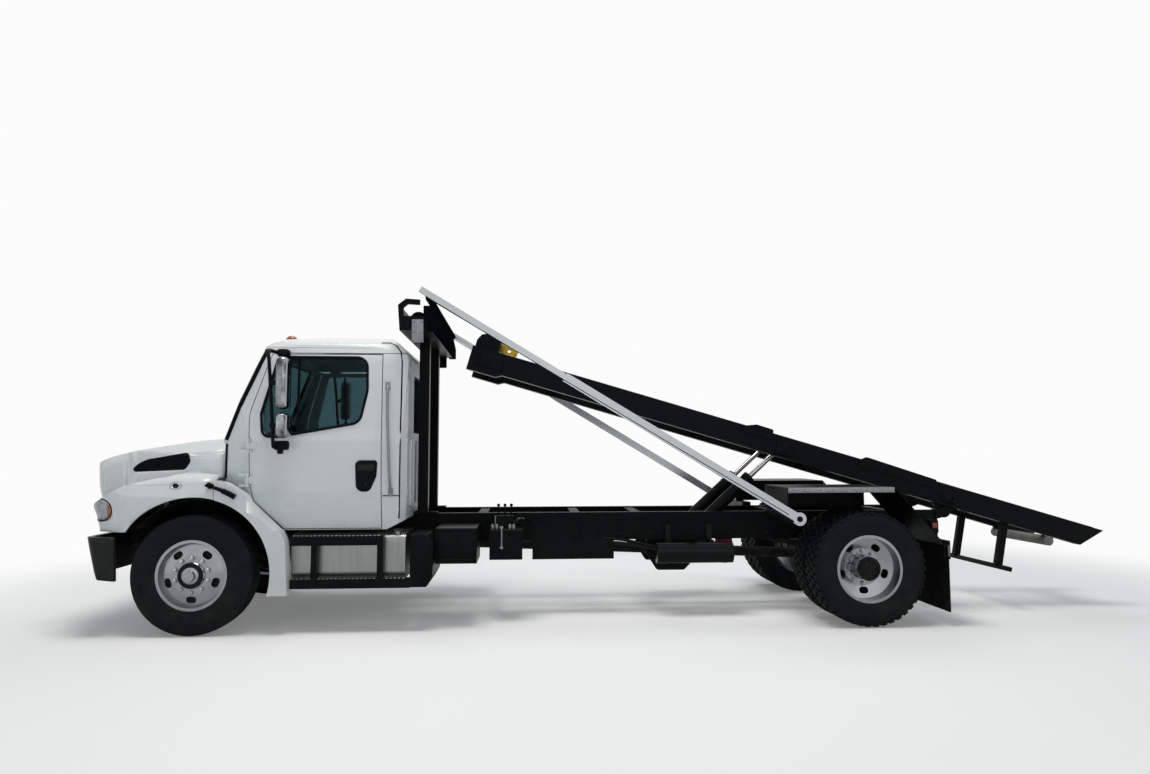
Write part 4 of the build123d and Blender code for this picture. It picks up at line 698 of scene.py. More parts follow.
# %% Nose, bumper and roof
NOSE_PULL, LAMP_PULL, NOSE_WIDEN = 0.120, 0.005, 0.125
BUMPER_LEAN_BACK = 0.165
ROOF_LIFT = 0.042
NOSE_BOX = (0.25, -1.17, 0.83), (0.96, 1.17, 1.68)
BUMPER_BOX = (0.64, -1.15, 0.465), (0.95, 1.15, 0.832)
ROOF_BOX = (-1.74, -0.9, 2.425), (-0.46, 0.9, 2.566)
NOSE_PARTS = [("hood", "hood_skin", "white_paint"), ("grille", "grille_skin", "black_plastic"),
              ("headlamps", "lamp_glass", "clear_lens"), ("hood_vents", "vent_floor", "black_plastic")]


def nose_pull(x, y, z):
    """Forward and outward pull of the hood's front corners."""
    corner = share(x, 0.30, 0.80) * share(abs(y), 0.35, 0.70)
    tall = share(z, 0.95, 1.20)
    pull = LAMP_PULL + (NOSE_PULL - LAMP_PULL) * tall
    return (pull * corner, math.copysign(NOSE_WIDEN * corner * tall * share(1.15 - abs(y), 0, 0.3), y), 0)


def bumper_pull(x, y, z):
    """Backward pull of the bumper's foot."""
    (back, _, foot), (front, _, top) = BUMPER_BOX
    return (-BUMPER_LEAN_BACK * share(x, back, front) * (1 - share(z, foot, top)), 0, 0)


def roof_pull(x, y, z):
    """Upward pull of the roof's crown."""
    return (0, 0, ROOF_LIFT * share(z, ROOF_BOX[0][2], ROOF_BOX[1][2]))


for name, new_name, label in NOSE_PARTS:
    dressed(name, new_name, label, "hood", NOSE_BOX, (5, 9, 6), nose_pull)
dressed("bumper", "bumper_skin", "bumper_black", "chassis", BUMPER_BOX, (2, 2, 2), bumper_pull)
dressed("cab_roof", "roof_skin", "white_paint", "chassis", ROOF_BOX, (2, 2, 2), roof_pull)

# %% [markdown]
# Five amber lamps stand on the roof's front edge. Each is turned as a low dome where a ray meets
# the roof, and stretched a little along the truck.

# %% Roof lamps
LAMP_ROW, LAMP_ROW_X, DOME_LONG = (-0.640, -0.220, 0.0, 0.220, 0.640), -0.640, 1.18
DOME = [(0.0, 0.044), (0.018, 0.042), (0.032, 0.034), (0.042, 0.018), (0.046, 0.0), (0.047, -0.03)]
domes = []
for y in LAMP_ROW:
    foot = touch(["cab_roof"], station(LAMP_ROW_X, y, ABOVE), DOWN)
    dome = lathe(DOME, foot, (0, 0, 1), 32)
    edit(dome)
    bpy.ops.transform.resize(value=(DOME_LONG, 1, 1), center_override=foot)
    fresh()
    domes.append(dome)
lamps = settle(merge(*domes), "roof_domes", "amber_lens", "chassis")
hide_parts("roof_lamps")

# %% [markdown]
# ## Tyres
# A tyre has the same section all the way round, so the section is drawn as a chain of points and
# turned about the axle. A steer tyre has long ribs; its grooves are part of the section.

# %% Steer tyres
tyre_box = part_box("front_tyre_left")
tyre_r = (tyre_box[1][2] - tyre_box[0][2]) / 2
half_w = (tyre_box[1][1] - tyre_box[0][1]) / 2
front_hub = station(0, (tyre_box[0][1] + tyre_box[1][1]) / 2, tyre_r)
BEAD_R = 0.287
SIDEWALL = [(BEAD_R, 0.026), (0.304, 0.018), (0.325, 0.011), (0.365, 0.003), (0.405, 0.0), (0.450, 0.005),
            (0.480, 0.017), (0.493, 0.028)]
GROOVES = (-0.066, -0.022, 0.022, 0.066)
GROOVE_W, GROOVE_D = 0.011, 0.014
CROWN, RIB_EDGE = 0.4, 0.106


def crown(across):
    """Tread radius, a little smaller towards the shoulders."""
    return tyre_r - CROWN * across ** 2


def tyre_section(tread):
    """A closed tyre section: one wall up, over the tread, and down the other wall."""
    up = [(r, inset - half_w) for r, inset in SIDEWALL]
    down = [(r, -a) for r, a in reversed(up)]
    return up + tread + down + up[:1]


ribs = [(crown(RIB_EDGE), -RIB_EDGE)]
for middle in GROOVES:
    for across, drop in ((-0.5, 0), (-0.35, GROOVE_D), (0.35, GROOVE_D), (0.5, 0)):
        ribs.append((crown(middle) - drop, middle + across * GROOVE_W))
ribs.append((crown(RIB_EDGE), RIB_EDGE))
steer_tyre = lathe(tyre_section(ribs), front_hub, steps=96)
for tyre, name in zip(both(steer_tyre, "steer_tyre", "tyre_rubber", FRONT_WHEELS, 40),
                      ("front_tyre_left", "front_tyre_right")):
    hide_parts(name)

# %% [markdown]
# A drive tyre carries blocks that bite. One pitch of the tread, four blocks, is modelled at the
# bottom and copied round the axle; the outer tyre is then copied inwards for the twin.

# %% Drive tyres
rear_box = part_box("rear_tyres_left")
drive_y = rear_box[1][1] - half_w
twin_step = rear_box[0][1] + half_w - drive_y
rear_hub = Vector(((rear_box[0][0] + rear_box[1][0]) / 2, drive_y, tyre_r))
PITCHES, FLOOR_AT = 42, (-0.11, 0.0, 0.11)
BLOCK_D, BLOCK_ROOT, BLOCK_SHARE = 0.017, 0.006, 0.31
BLOCKS = [(-0.128, -0.076, 0), (-0.068, -0.006, 0.5), (0.006, 0.068, 0), (0.076, 0.128, 0.5)]
pitch_angle = math.tau / PITCHES
block_half = BLOCK_SHARE * pitch_angle * tyre_r
carcass = lathe(tyre_section([(crown(a) - BLOCK_D, a) for a in FLOOR_AT]), rear_hub, steps=84)
blocks = []
for low, high, shift in BLOCKS:
    top = crown(max(abs(low), abs(high))) - 0.001
    block = brick(rear_hub + Vector((-block_half, low, -top)),
                  rear_hub + Vector((block_half, high, -top + BLOCK_D + BLOCK_ROOT)), 0.003, 1)
    blocks.append(turned(block, shift * pitch_angle, "Y", rear_hub))
    bpy.data.objects.remove(block)
tread_ring = around(merge(*blocks), PITCHES, "Y", rear_hub)
drive_tyre = merge(tread_ring, carcass)
drive_pair = merge(moved(drive_tyre, (0, twin_step, 0)), drive_tyre)
for tyre, name in zip(both(drive_pair, "drive_tyres", "tyre_rubber", REAR_WHEELS, 40),
                      ("rear_tyres_left", "rear_tyres_right")):
    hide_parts(name)

# %% [markdown]
# ## Wheels
# Ten nuts hold each wheel. A nut is a six-sided cylinder with its rim bevelled, and a stud end
# stands out of it. One nut is made and copied round the wheel.

# %% Wheel nuts
NUT_CIRCLE, NUTS = 0.1425, 10
BETWEEN_NUTS = 0.31  # radians from a nut, on the bare disc
FACING = (math.pi / 2, 0, 0)


def nut(place, across=0.034, high=0.026):
    """A hexagon nut on its stud, standing out to the left of a place."""
    fresh()
    middle = Vector(place) + Vector((0, high / 2, 0))
    parts = []
    for sides, radius, out, edge in ((12, across * 0.3, 0.4, 0.05), (6, across / math.sqrt(3), 0, 0.06)):
        bpy.ops.mesh.primitive_cylinder_add(vertices=sides, radius=radius, depth=high,
                                            location=middle + Vector((0, high * out, 0)), rotation=FACING)
        parts.append(eased(bpy.context.object, across * edge))
    pick(*parts)
    bake_place()
    return merge(*parts)


def wheel_face(hub, rim):
    """How far out the wheel's disc stands at the nut circle."""
    aside = Vector((math.sin(BETWEEN_NUTS), 0, math.cos(BETWEEN_NUTS)))
    return touch([rim], Vector((hub.x, FAR, hub.z)) + NUT_CIRCLE * aside, INWARD).y


for hub, rim, name, bodies in ((front_hub, "front_rim_left", "front_nuts", FRONT_WHEELS),
                               (rear_hub, "rear_rims_left", "rear_nuts", REAR_WHEELS)):
    first = nut((hub.x, wheel_face(hub, rim), hub.z + NUT_CIRCLE))
    both(around(first, NUTS, "Y", (hub.x, 0, hub.z)), name, "chrome", bodies)

# %% [markdown]
# Behind the holes of a front wheel the brake drum shows dark, and an oily ring sits round the
# hub. Both are turned on the lathe about the axle.

# %% Brake drum and hub ring
DRUM = [(0.120, -0.040), (0.250, -0.040), (0.252, -0.046), (0.252, -0.064), (0.120, -0.064),
        (0.120, -0.040)]
OILY = [(0.070, 0.004), (0.100, 0.004), (0.105, 0.0), (0.105, -0.012), (0.070, -0.012), (0.070, 0.004)]
face_y = wheel_face(front_hub, "front_rim_left")
drum = lathe(DRUM, (front_hub.x, face_y, front_hub.z), steps=64)
both(drum, "brake_drum", "cast_metal", FRONT_WHEELS)
ring_y = touch(["front_rim_left"], front_hub + Vector((0.088, 2.0, 0)), INWARD).y
oily = lathe(OILY, (front_hub.x, ring_y, front_hub.z), steps=64)
both(oily, "hub_ring", "cast_metal", FRONT_WHEELS)

# %% [markdown]
# The rear hub ends in an axle flange with a ring of studs, dark with oil. It is turned as a
# stepped plate, and its studs are smaller copies of the same nut.

# %% Rear axle flange
FLANGE = [(0.0, 0.012), (0.045, 0.012), (0.054, 0.004), (0.098, 0.004), (0.105, -0.002), (0.105, -0.012),
          (0.0, -0.012)]
STUD_CIRCLE, STUDS = 0.078, 8
hub_face = touch(["rear_rims_left"], (rear_hub.x, FAR, rear_hub.z), INWARD).y
flange = lathe(FLANGE, (rear_hub.x, hub_face, rear_hub.z), steps=40)
stud = nut((rear_hub.x, hub_face, rear_hub.z + STUD_CIRCLE), 0.02, 0.016)
studs = around(stud, STUDS, "Y", (rear_hub.x, 0, rear_hub.z))
both(merge(studs, flange), "axle_flange", "cast_metal", REAR_WHEELS)

# %% [markdown]
# ## Doors
# A rubber seal holds the door glass. It is a bar of rubber that follows the window's rounded
# outline just outside the opening; rays find the door's skin, so the seal lies on the metal.

# %% Window seals and dividers
WINDOW = [(-0.500, 1.880, 0.06), (-0.520, 1.690, 0.06), (-0.640, 1.684, 0.06), (-1.330, 1.806, 0.09),
          (-1.388, 2.080, 0.30), (-1.380, 2.379, 0.09), (-0.618, 2.379, 0.05)]
SEAL_R = 0.013
window = rounded(WINDOW)
window_mid = sum(window, Vector((0, 0))) / len(window)
seal_line = [place + (place - window_mid).normalized() * SEAL_R for place in window]
seal = laid(["door_left"], seal_line, -0.003, SEAL_R, closed=True)
both(seal, "window_seal", "black_rubber", DOORS)
DIVIDER = ((-0.790, 2.370), (-0.806, 1.724))
divider = eased(laid(["door_glass_left"], DIVIDER, 0.004, 0.012), 0.002)
both(divider, "window_divider", "black_rubber", DOORS)

# %% [markdown]
# The door handle sits in a black plate, a little wider at the top. A filled outline is
# extruded and bevelled for the plate, and a rounded brick makes the paddle.

# %% Door handles
PLATE = [(-1.317, 1.470, 0.045), (-1.512, 1.470, 0.028), (-1.506, 1.330, 0.110), (-1.448, 1.195, 0.050),
         (-1.330, 1.195, 0.062)]
handle_y = beside(["door_left"], -1.42, 1.33).y
plate = prism([station(x, handle_y - 0.012, z) for x, z in rounded(PLATE, 4)], (0, 0.018, 0), 0.003)
paddle = slab((-1.490, handle_y, 1.372), (-1.338, handle_y + 0.020, 1.432), 0.008)
lock = lathe([(0.0, 0.012), (0.011, 0.012), (0.014, 0.008), (0.014, 0.0)],
             station(-1.415, handle_y + 0.002, 1.262), steps=20)
both(plate, "handle_plate", "black_plastic", DOORS)
both(merge(lock, paddle), "handle_paddle", "bumper_black", DOORS)

# %% [markdown]
# Each mirror hangs on a bent tube bolted to the door. The bends come from a smooth curve. Two
# chrome shells, well rounded bricks, each carry a thin glass at the back.

# %% Mirrors
ARM = [(-0.660, 0.930, 2.410), (-0.600, 1.100, 2.425), (-0.600, 1.200, 2.415), (-0.620, 1.215, 2.330),
       (-0.670, 1.215, 1.640), (-0.672, 1.215, 1.585), (-0.668, 1.150, 1.585), (-0.650, 0.985, 1.600)]
HEADS = [(-0.787, -0.690, 1.908, 2.354), (-0.794, -0.700, 1.661, 1.876)]
HEAD_Y = (1.130, 1.290)
arm = tube([station(*p) for p in ARM], 0.015, bend=True)
pads = [slab((x - 0.04, y - 0.02, z - 0.035), (x + 0.04, y + 0.022, z + 0.035), 0.01)
        for x, y, z in (ARM[0], ARM[-1])]
KNOB = [(0.0, 0.0), (0.026, 0.004), (0.030, 0.050), (0.0, 0.050)]
caps = [slab((-0.735, 0.960, 2.380), (-0.625, 1.060, 2.448), 0.028, 4),
        slab((-0.775, 1.080, 1.560), (-0.655, 1.170, 1.640), 0.020, 3),
        lathe(KNOB, station(-0.705, 1.120, 1.525), (0, 0, 1), 20)]
links = [slab((x1 - 0.01, 1.195, (z0 + z1) / 2 - 0.02), (-0.640, 1.235, (z0 + z1) / 2 + 0.02), 0.005)
         for x0, x1, z0, z1 in HEADS]
arms = both(merge(*pads, *caps, *links, arm), "mirror_arm", "black_plastic", DOORS)
for item, name in zip(arms, ("mirror_left", "mirror_right")):
    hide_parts(name)
shells, glasses = [], []
y0, y1 = HEAD_Y
for x0, x1, z0, z1 in HEADS:
    shells.append(slab((x0, y0, z0), (x1, y1, z1), 0.044, 5))
    glasses.append(slab((x0 - 0.004, y0 + 0.018, z0 + 0.02), (x0 + 0.02, y1 - 0.018, z1 - 0.02), 0.003))
both(merge(*shells), "mirror_shells", "mirror_chrome", DOORS, 50)
both(merge(*glasses), "mirror_glass", "mirror_face", DOORS)

# %% [markdown]
# ## Windscreen
# The screen's rubber lies on the glass. Rays from the front find the curved surface, and the seal
# follows it round the four edges of the screen.

# %% Windscreen seal
SCREEN = [(-0.80, 1.700), (0.80, 1.700), (0.72, 2.410), (-0.72, 2.410)]
SCREEN_MID, SEAL_WIDER, SEAL_TALLER, SEAL_STEPS = 2.055, 1.014, 1.02, 12
CAB_FACE = ["cab_front", "cab_glass", "cab_roof"]


def ahead(y, z, out=0.0):
    """A place on the front of the cab, lifted forward."""
    return touch(CAB_FACE, station(2.0, y, z), (-1, 0, 0)) + Vector((out, 0, 0))


edge_line = []
for (y0, z0), (y1, z1) in zip(SCREEN, SCREEN[1:] + SCREEN[:1]):
    edge_line += [(y0 + (y1 - y0) * k / SEAL_STEPS, z0 + (z1 - z0) * k / SEAL_STEPS)
                  for k in range(SEAL_STEPS)]
edge_line = [(y * SEAL_WIDER, SCREEN_MID + (z - SCREEN_MID) * SEAL_TALLER) for y, z in edge_line]
screen_seal = tube([ahead(y, z, 0.006) for y, z in edge_line], 0.018, closed=True)
settle(screen_seal, "screen_seal", "black_rubber", "chassis")

# %% [markdown]
# A rubber trim runs up each pillar, just behind the screen. Each wiper is a bent stalk on a turned
# spindle, with a thin blade that follows the glass.

# %% Pillar trim and wipers
TRIM_Z = (1.655, 1.74, 1.85, 1.96, 2.07, 2.18, 2.29, 2.39, 2.455)
TRIM_BACK = 0.026
trim_line = []
for z in TRIM_Z:
    nose_x = ahead(0.80, z).x - FRONT_AXLE.x
    trim_line.append(beside(["cab_front", "cab_roof"], nose_x - TRIM_BACK, z, -0.006))
both(eased(tube(trim_line, 0.021), 0.002), "pillar_trim", "black_rubber", CHASSIS)
WIPERS = {"wiper_driver": ((0.60, 1.672), (0.48, 1.735), (0.02, 1.800)),
          "wiper_mate": ((-0.06, 1.672), (-0.18, 1.735), (-0.64, 1.800))}
SPINDLE = [(0.0, 0.03), (0.014, 0.026), (0.018, -0.03), (0.0, -0.03)]
for name, (root, knee, tip) in WIPERS.items():
    stalk = tube([ahead(*root, 0.02), ahead(*knee, 0.03), ahead(*tip, 0.022)], 0.008, bend=True)
    spots = [(knee[0] + (tip[0] - knee[0]) * k / 6, knee[1] + (tip[1] - knee[1]) * k / 6) for k in range(7)]
    blade = tube([ahead(y, z - 0.02, 0.008) for y, z in spots], 0.006)
    spindle = lathe(SPINDLE, ahead(*root), (1, 0, 0.4), 16)
    settle(merge(blade, spindle, stalk), name, "black_plastic", "chassis")

# %% [markdown]
# ## Hood
# The headlamp wears a dark bezel and an amber rear corner. The corner is a copy of the lens,
# cut with a plane and fattened a little, so that it follows the fender's curve.

# %% Headlamp bezel and corner
lens_x = [v.co.x - FRONT_AXLE.x for v in skin["headlamps"].data.vertices]
LAMP_AT = ((min(lens_x) + max(lens_x)) / 2, 1.056)
LAMP_HALF = ((max(lens_x) - min(lens_x)) / 2, 0.094)
CORNER_X = min(lens_x) + 0.045
BEZEL_OUT = 1.01
turns = [math.tau * k / 40 for k in range(40)]
ring = [(LAMP_AT[0] + BEZEL_OUT * LAMP_HALF[0] * math.cos(t),
         LAMP_AT[1] + BEZEL_OUT * LAMP_HALF[1] * math.sin(t)) for t in turns]
bezel = laid(["hood", "headlamps"], ring, -0.001, 0.006, closed=True)
both(bezel, "lamp_bezel", "black_plastic", HOOD)
corner = twin_of(skin["headlamps"])
edit(corner)
bpy.ops.mesh.bisect(plane_co=station(CORNER_X, 0, 0), plane_no=(1, 0, 0), clear_outer=True, use_fill=True)
bpy.ops.mesh.select_all(action="SELECT")
bpy.ops.transform.shrink_fatten(value=0.002)
settle(corner, "lamp_corners", "amber_lens", "hood")

# %% [markdown]
# A marker lamp sits on each fender: a chrome ring with a small lens, both turned and then
# squeezed to an oval. A rubber strap with a grip holds the hood down on each side.

# %% Fender marker and hood strap
MARKER, MARKER_FLAT = (0.154, 1.259), 0.68
MARKER_RING = [(0.0, 0.004), (0.022, 0.006), (0.030, 0.014), (0.044, 0.013), (0.052, 0.004),
               (0.053, -0.012)]
MARKER_LENS = [(0.0, 0.014), (0.012, 0.013), (0.020, 0.009), (0.024, 0.002)]
marker_at = beside(["hood"], *MARKER)


def oval(section, name, label):
    """A turned piece on the fender, squeezed in height."""
    item = lathe(section, marker_at, steps=36)
    edit(item)
    bpy.ops.transform.resize(value=(1, 1, MARKER_FLAT), center_override=marker_at)
    both(item, name, label, HOOD)


oval(MARKER_RING, "marker_ring", "chrome")
oval(MARKER_LENS, "marker_lens", "bumper_black")
STRAP = [(-0.112, 1.268), (-0.150, 1.252), (-0.200, 1.234), (-0.250, 1.214), (-0.300, 1.192),
         (-0.352, 1.162)]
FENDER = ["hood", "quarter_fenders", "cab_front"]
strap = laid(FENDER, STRAP, 0.006, 0.016, bend=True)
grip = eased(laid(FENDER, STRAP[:2], 0.014, 0.024), 0.004, 2)
foot = eased(laid(FENDER, STRAP[3:], 0.008, 0.023, bend=True), 0.004, 2)
both(merge(grip, foot, strap), "hood_strap", "black_rubber", HOOD)

# %% [markdown]
# Between the hood and the cowl a dark rubber lip fills the gap. It follows the cowl's front edge
# up the side, a few millimetres clear of the hood, so the hood can tilt away.

# %% Cowl lip
LIP_X = -0.186
LIP_Z = (1.318, 1.36, 1.42, 1.48, 1.54, 1.585, 1.615)
lip_skin = [beside(["cab_front"], -0.200, z, -0.002) for z in LIP_Z]
lip = tube([Vector((FRONT_AXLE.x + LIP_X, p.y, p.z)) for p in lip_skin], 0.010)
both(eased(lip, 0.001), "cowl_lip", "black_rubber", CHASSIS)

# %% [markdown]
# A black liner, an arc of sheet over the tyre, closes the wheel arch, and a splash plate closes the
# gap above the bumper.

# %% Fender liner and splash plate
LINER_R, LINER_T, LINER_IN, LINER_WIDE = 0.625, 0.008, 0.500, 0.560


def arc(radius):
    """An arc over the front tyre, from ahead of it to behind it."""
    bow = [math.radians(a) for a in range(38, 153, 6)]
    return [(radius * math.cos(a), tyre_r + radius * math.sin(a)) for a in bow]


arch = arc(LINER_R) + arc(LINER_R + LINER_T)[::-1]
liner = prism([station(x, LINER_IN, z) for x, z in arch], (0, LINER_WIDE, 0))
both(liner, "fender_liner", "black_plastic", HOOD)
splash = slab((0.520, 0.462, 0.790), (0.868, 0.474, 0.990))
both(splash, "splash_plate", "black_plastic", CHASSIS)

# %% [markdown]
# ## Steps, frame and boxes
# The upper step stops short of the end box, so that the filler can be reached. A copy of the
# solid is cut with two bricks, one on each side.

# %% Step cut
steps_cut = copied("side_steps")
room = slab((-1.8155, 0.90, 0.70), (-1.588, 1.20, 0.90), 0.001, 1)
room = merge(mirrored(room), room)
cutter = steps_cut.modifiers.new("room", "BOOLEAN")
cutter.operation = "DIFFERENCE"
cutter.object = room
applied(steps_cut, "room")
bpy.data.objects.remove(room)
settle(steps_cut, "steps_cut", "black_paint", "chassis")
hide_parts("side_steps")

# %% [markdown]
# The step bars have raised grips so that a boot doesn't slip. Each grip is a bevelled brick, and
# rows of them fill both steps.

# %% Step grips
STEP_TOPS = (0.820, 0.455)
GRIP_X = [-1.770 + 0.036 * n for n in range(27)]
UPPER_END = -1.58
grips = [slab((x, 1.008, z - 0.004), (x + 0.018, 1.078, z + 0.005), 0.003, 1)
         for z in STEP_TOPS for x in GRIP_X if x > UPPER_END or z == min(STEP_TOPS)]
both(merge(*grips), "step_grips", "grey_steel", CHASSIS)

# %% [markdown]
# Bolts fix the cross members, the boxes and the hoist's brackets to the rails. The nut from
# the wheels is used again, smaller, wherever a bracket would be bolted.

# %% Frame bolts
RAIL_FACE = 0.432
BOLT_STATIONS = (-2.06, -2.44, -2.84, -3.30, -3.72, -4.02, -4.40, -4.78, -5.16)
BOLT_ROWS = (0.760, 0.905)
bolts = [nut(station(x, RAIL_FACE, z), 0.022, 0.014) for x in BOLT_STATIONS for z in BOLT_ROWS]
both(merge(*bolts), "rail_bolts", "cast_metal", CHASSIS)

# %% [markdown]
# The tool box has a lid: a thin raised panel with rounded edges, a small latch and a hinge bar. The
# oil tank has a sight gauge, a tube between two blocks.

# %% Box lid and oil gauge
lid = slab((-2.372, 0.982, 0.590), (-2.032, 0.991, 0.845), 0.006)
latch = slab((-2.230, 0.989, 0.800), (-2.174, 0.999, 0.834))
hinge = eased(tube([station(-2.340, 0.990, 0.596), station(-2.064, 0.990, 0.596)], 0.006), 0.001)
both(merge(latch, hinge, lid), "tool_lid", "black_paint", CHASSIS)
gauge = tube([station(-2.595, 0.760, 0.668), station(-2.595, 0.760, 0.850)], 0.009)
caps = [slab((-2.610, 0.748, z), (-2.580, 0.775, z + 0.024)) for z in (0.660, 0.840)]
settle(merge(*caps, gauge), "oil_gauge", "grey_steel", "chassis")

# %% [markdown]
# Hydraulic lines leave the oil tank through bright fittings on its lid. Each fitting is turned on
# the lathe; the hoses are bent tubes that end inside the boxes they join.

# %% Tank fittings and hoses
LID_Z = 0.832
FITTING = [(0.0, 0.046), (0.010, 0.046), (0.013, 0.041), (0.013, 0.030), (0.019, 0.028), (0.019, 0.010),
           (0.012, 0.008), (0.012, -0.004), (0.0, -0.004)]
fittings = [lathe(FITTING, station(x, 0.690, LID_Z), (0, 0, 1), 16)
            for x in (-2.510, -2.548, -2.668, -2.704)]
dipstick = eased(tube([station(-2.534, 0.655, LID_Z - 0.004), station(-2.534, 0.655, 0.950)], 0.006), 0.001)
settle(merge(*fittings, dipstick), "tank_fittings", "grey_steel", "chassis")
HOSES = [[(-2.704, 0.690, 0.870), (-2.735, 0.640, 0.925), (-2.820, 0.520, 0.905), (-2.885, 0.425, 0.815)],
         [(-3.440, 0.400, 0.715), (-3.600, 0.420, 0.712), (-3.800, 0.500, 0.700), (-4.060, 0.545, 0.640)],
         [(-3.440, 0.400, 0.680), (-3.600, 0.425, 0.678), (-3.800, 0.510, 0.672), (-4.060, 0.565, 0.615)]]
hoses = [tube([station(*p) for p in path], 0.014, bend=True) for path in HOSES]
settle(merge(*hoses), "oil_hoses", "gloss_black", "chassis")

# %% [markdown]
# The air tank has rolled bands near its ends, turned about its long axis. A red pot, a turned can
# with soft rims, sits behind it.

# %% Air tank bands and red pot
TANK_AT, TANK_R = (0.560, 0.590), 0.100
BAND = [(TANK_R - 0.004, -0.02), (TANK_R + 0.003, -0.018), (TANK_R + 0.003, 0.018), (TANK_R - 0.004, 0.02)]
bands = [lathe(BAND, station(x, *TANK_AT), (1, 0, 0), 40) for x in (-4.70, -4.13)]
both(merge(*bands), "tank_bands", "gloss_black", CHASSIS)
red_pot = lathe([(0.0, 0.0), (0.060, 0.004), (0.072, 0.02), (0.072, 0.13), (0.060, 0.148), (0.0, 0.15)],
                station(-4.83, 0.330, 0.655), (1, 0, 0), 32)
settle(red_pot, "red_pot", "red_paint", "chassis")

# %% [markdown]
# ## Hoist
# The hoist's rails lean, so its details are made in hoist coordinates, u along the rail and v
# above it, and then turned about the pivot in one step.

# %% Hoist details
PIVOT = (-6.950, 0.960)
TILT = math.radians(16.2)
hoist_turn = (Matrix.Translation(station(PIVOT[0], 0, PIVOT[1])) @ Matrix.Rotation(-TILT, 4, "Y")
              @ Matrix.Translation(-station(PIVOT[0], 0, PIVOT[1])))


def rail_place(u, y, v):
    """A place in hoist coordinates before the hoist is turned up."""
    return station(PIVOT[0] + u, y, PIVOT[1] + v)


def tilted(item):
    """Turn a piece with the hoist."""
    item.data.transform(hoist_turn)
    return item


RAIL_OUT, RAIL_TOP = 0.457, 0.248
# The light steel strip on each rail's top is a painted highlight: it draws the bright line that light lays
# along the rail's top edge.
rail_top_highlight = brick(rail_place(-1.50, 0.365, RAIL_TOP - 0.002), rail_place(4.60, 0.447, RAIL_TOP + 0.005), 0.003)
both(tilted(rail_top_highlight), "rail_top_highlight_strip", "grey_steel", HOIST)
PLATES = [(-0.070, 0.080, 0.070, 0.150), (1.640, 1.800, 0.060, 0.200), (4.560, 4.860, 0.080, 0.215)]
plates = [brick(rail_place(u0, RAIL_OUT - 0.004, v0), rail_place(u1, RAIL_OUT + 0.012, v1), 0.004)
          for u0, u1, v0, v1 in PLATES]
plate_bolts = [nut(rail_place(u, RAIL_OUT + 0.012, v), 0.024, 0.014)
               for u0, u1, v0, v1 in PLATES for u in (u0 + 0.03, u1 - 0.03) for v in (v0 + 0.02, v1 - 0.02)]
both(tilted(merge(*plate_bolts, *plates)), "rail_plates", "black_paint", HOIST)

# %% [markdown]
# The pull block turns on a pin between two yellow cheeks. A bearing ring sits on each cheek,
# turned on the lathe as a stepped ring, with the pin's hole in its middle.

# %% Pull block cheeks
SHEAVE = (4.584, 0.340)
ringed = tilted(lathe([(0.022, 0.006), (0.070, 0.006), (0.078, 0.0), (0.022, 0.0), (0.022, 0.006)],
                      rail_place(SHEAVE[0], 0.050, SHEAVE[1]), steps=40))
both(ringed, "block_cheek", "yellow_paint", HOIST)

# %% [markdown]
# ## Tilt cylinders
# Where the chrome rod leaves the barrel, a gland ring is clamped round the barrel's end. The ring
# is turned about the cylinder's own axis, which the barrel's and rod's pins give.

# %% Gland rings
CYL_Y = 0.290
CYL_BASE = station(-4.160, CYL_Y, 0.500)
CYL_WAY = Vector((-0.740935, 0, 0.671577))
GLAND_AT = 1.190
GLAND = [(0.056, -0.006), (0.060, -0.008), (0.062, -0.012), (0.062, -0.056), (0.060, -0.060),
         (0.056, -0.062)]
gland = lathe(GLAND, CYL_BASE + CYL_WAY * GLAND_AT, CYL_WAY, 36)
both(gland, "gland", "black_paint", ("tilt_barrels", "tilt_barrels"))

# %% [markdown]
# ## Tarp gear
# The tarp is a cloth wound on its roll above the cab. One long strip is drawn as a spiral and
# extruded across the truck, so that the cloth has its real length.

# %% Tarp roll
roll_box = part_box("tarp_roll")
roll_at = Vector(((roll_box[0][0] + roll_box[1][0]) / 2, 0, (roll_box[0][2] + roll_box[1][2]) / 2))
roll_r = (roll_box[1][2] - roll_box[0][2]) / 2
TURNS, STEPS, CORE_R, WIDTHS = 12, 40, 0.022, 24
spiral = []
for k in range(TURNS * STEPS + 1):
    done = k / (TURNS * STEPS)
    reach = CORE_R + (roll_r - CORE_R) * done
    t = math.tau * TURNS * done
    spiral.append((reach * math.cos(t), reach * math.sin(t)))
roll_y = (roll_box[0][1] + 0.01, roll_box[1][1] - 0.01)
cloth = chain([roll_at + Vector((x, roll_y[0], z)) for x, z in spiral])
width_step = (0, (roll_y[1] - roll_y[0]) / WIDTHS, 0)
for n in range(WIDTHS):
    bpy.ops.mesh.extrude_edges_move(TRANSFORM_OT_translate={"value": width_step})
fresh()
settle(cloth, "tarp_cloth_roll", "tarp_cloth", "chassis", 60)
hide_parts("tarp_roll")
BAR_R, BAR_OUT = 0.019, 0.012
ends = (roll_y[0] - BAR_OUT, roll_y[1] + BAR_OUT)
core = lathe([(0.0, ends[0]), (BAR_R, ends[0]), (BAR_R, ends[1]), (0.0, ends[1])], roll_at, steps=24)
settle(core, "tarp_core", "grey_steel", "chassis")

# %% [markdown]
# A bright bolted plate carries the tarp's motor at the end of the tray.

# %% Motor plate
bright = slab((-1.905, 1.078, 2.505), (-1.803, 1.087, 2.712), 0.003)
plate_nuts = [nut(station(x, 1.087, z), 0.018, 0.010) for x in (-1.892, -1.816) for z in (2.52, 2.60, 2.695)]
both(merge(*plate_nuts, bright), "motor_plate", "grey_steel", CHASSIS)

# %% [markdown]
# The tarp leaves its roll behind a folded sheet that keeps the wind out, and its end is sewn round
# the bow. The sheet is an outline pushed across the truck and bevelled, with a cheek at each end.
# The sewn pocket rides on the arms, just clear of the sheet.

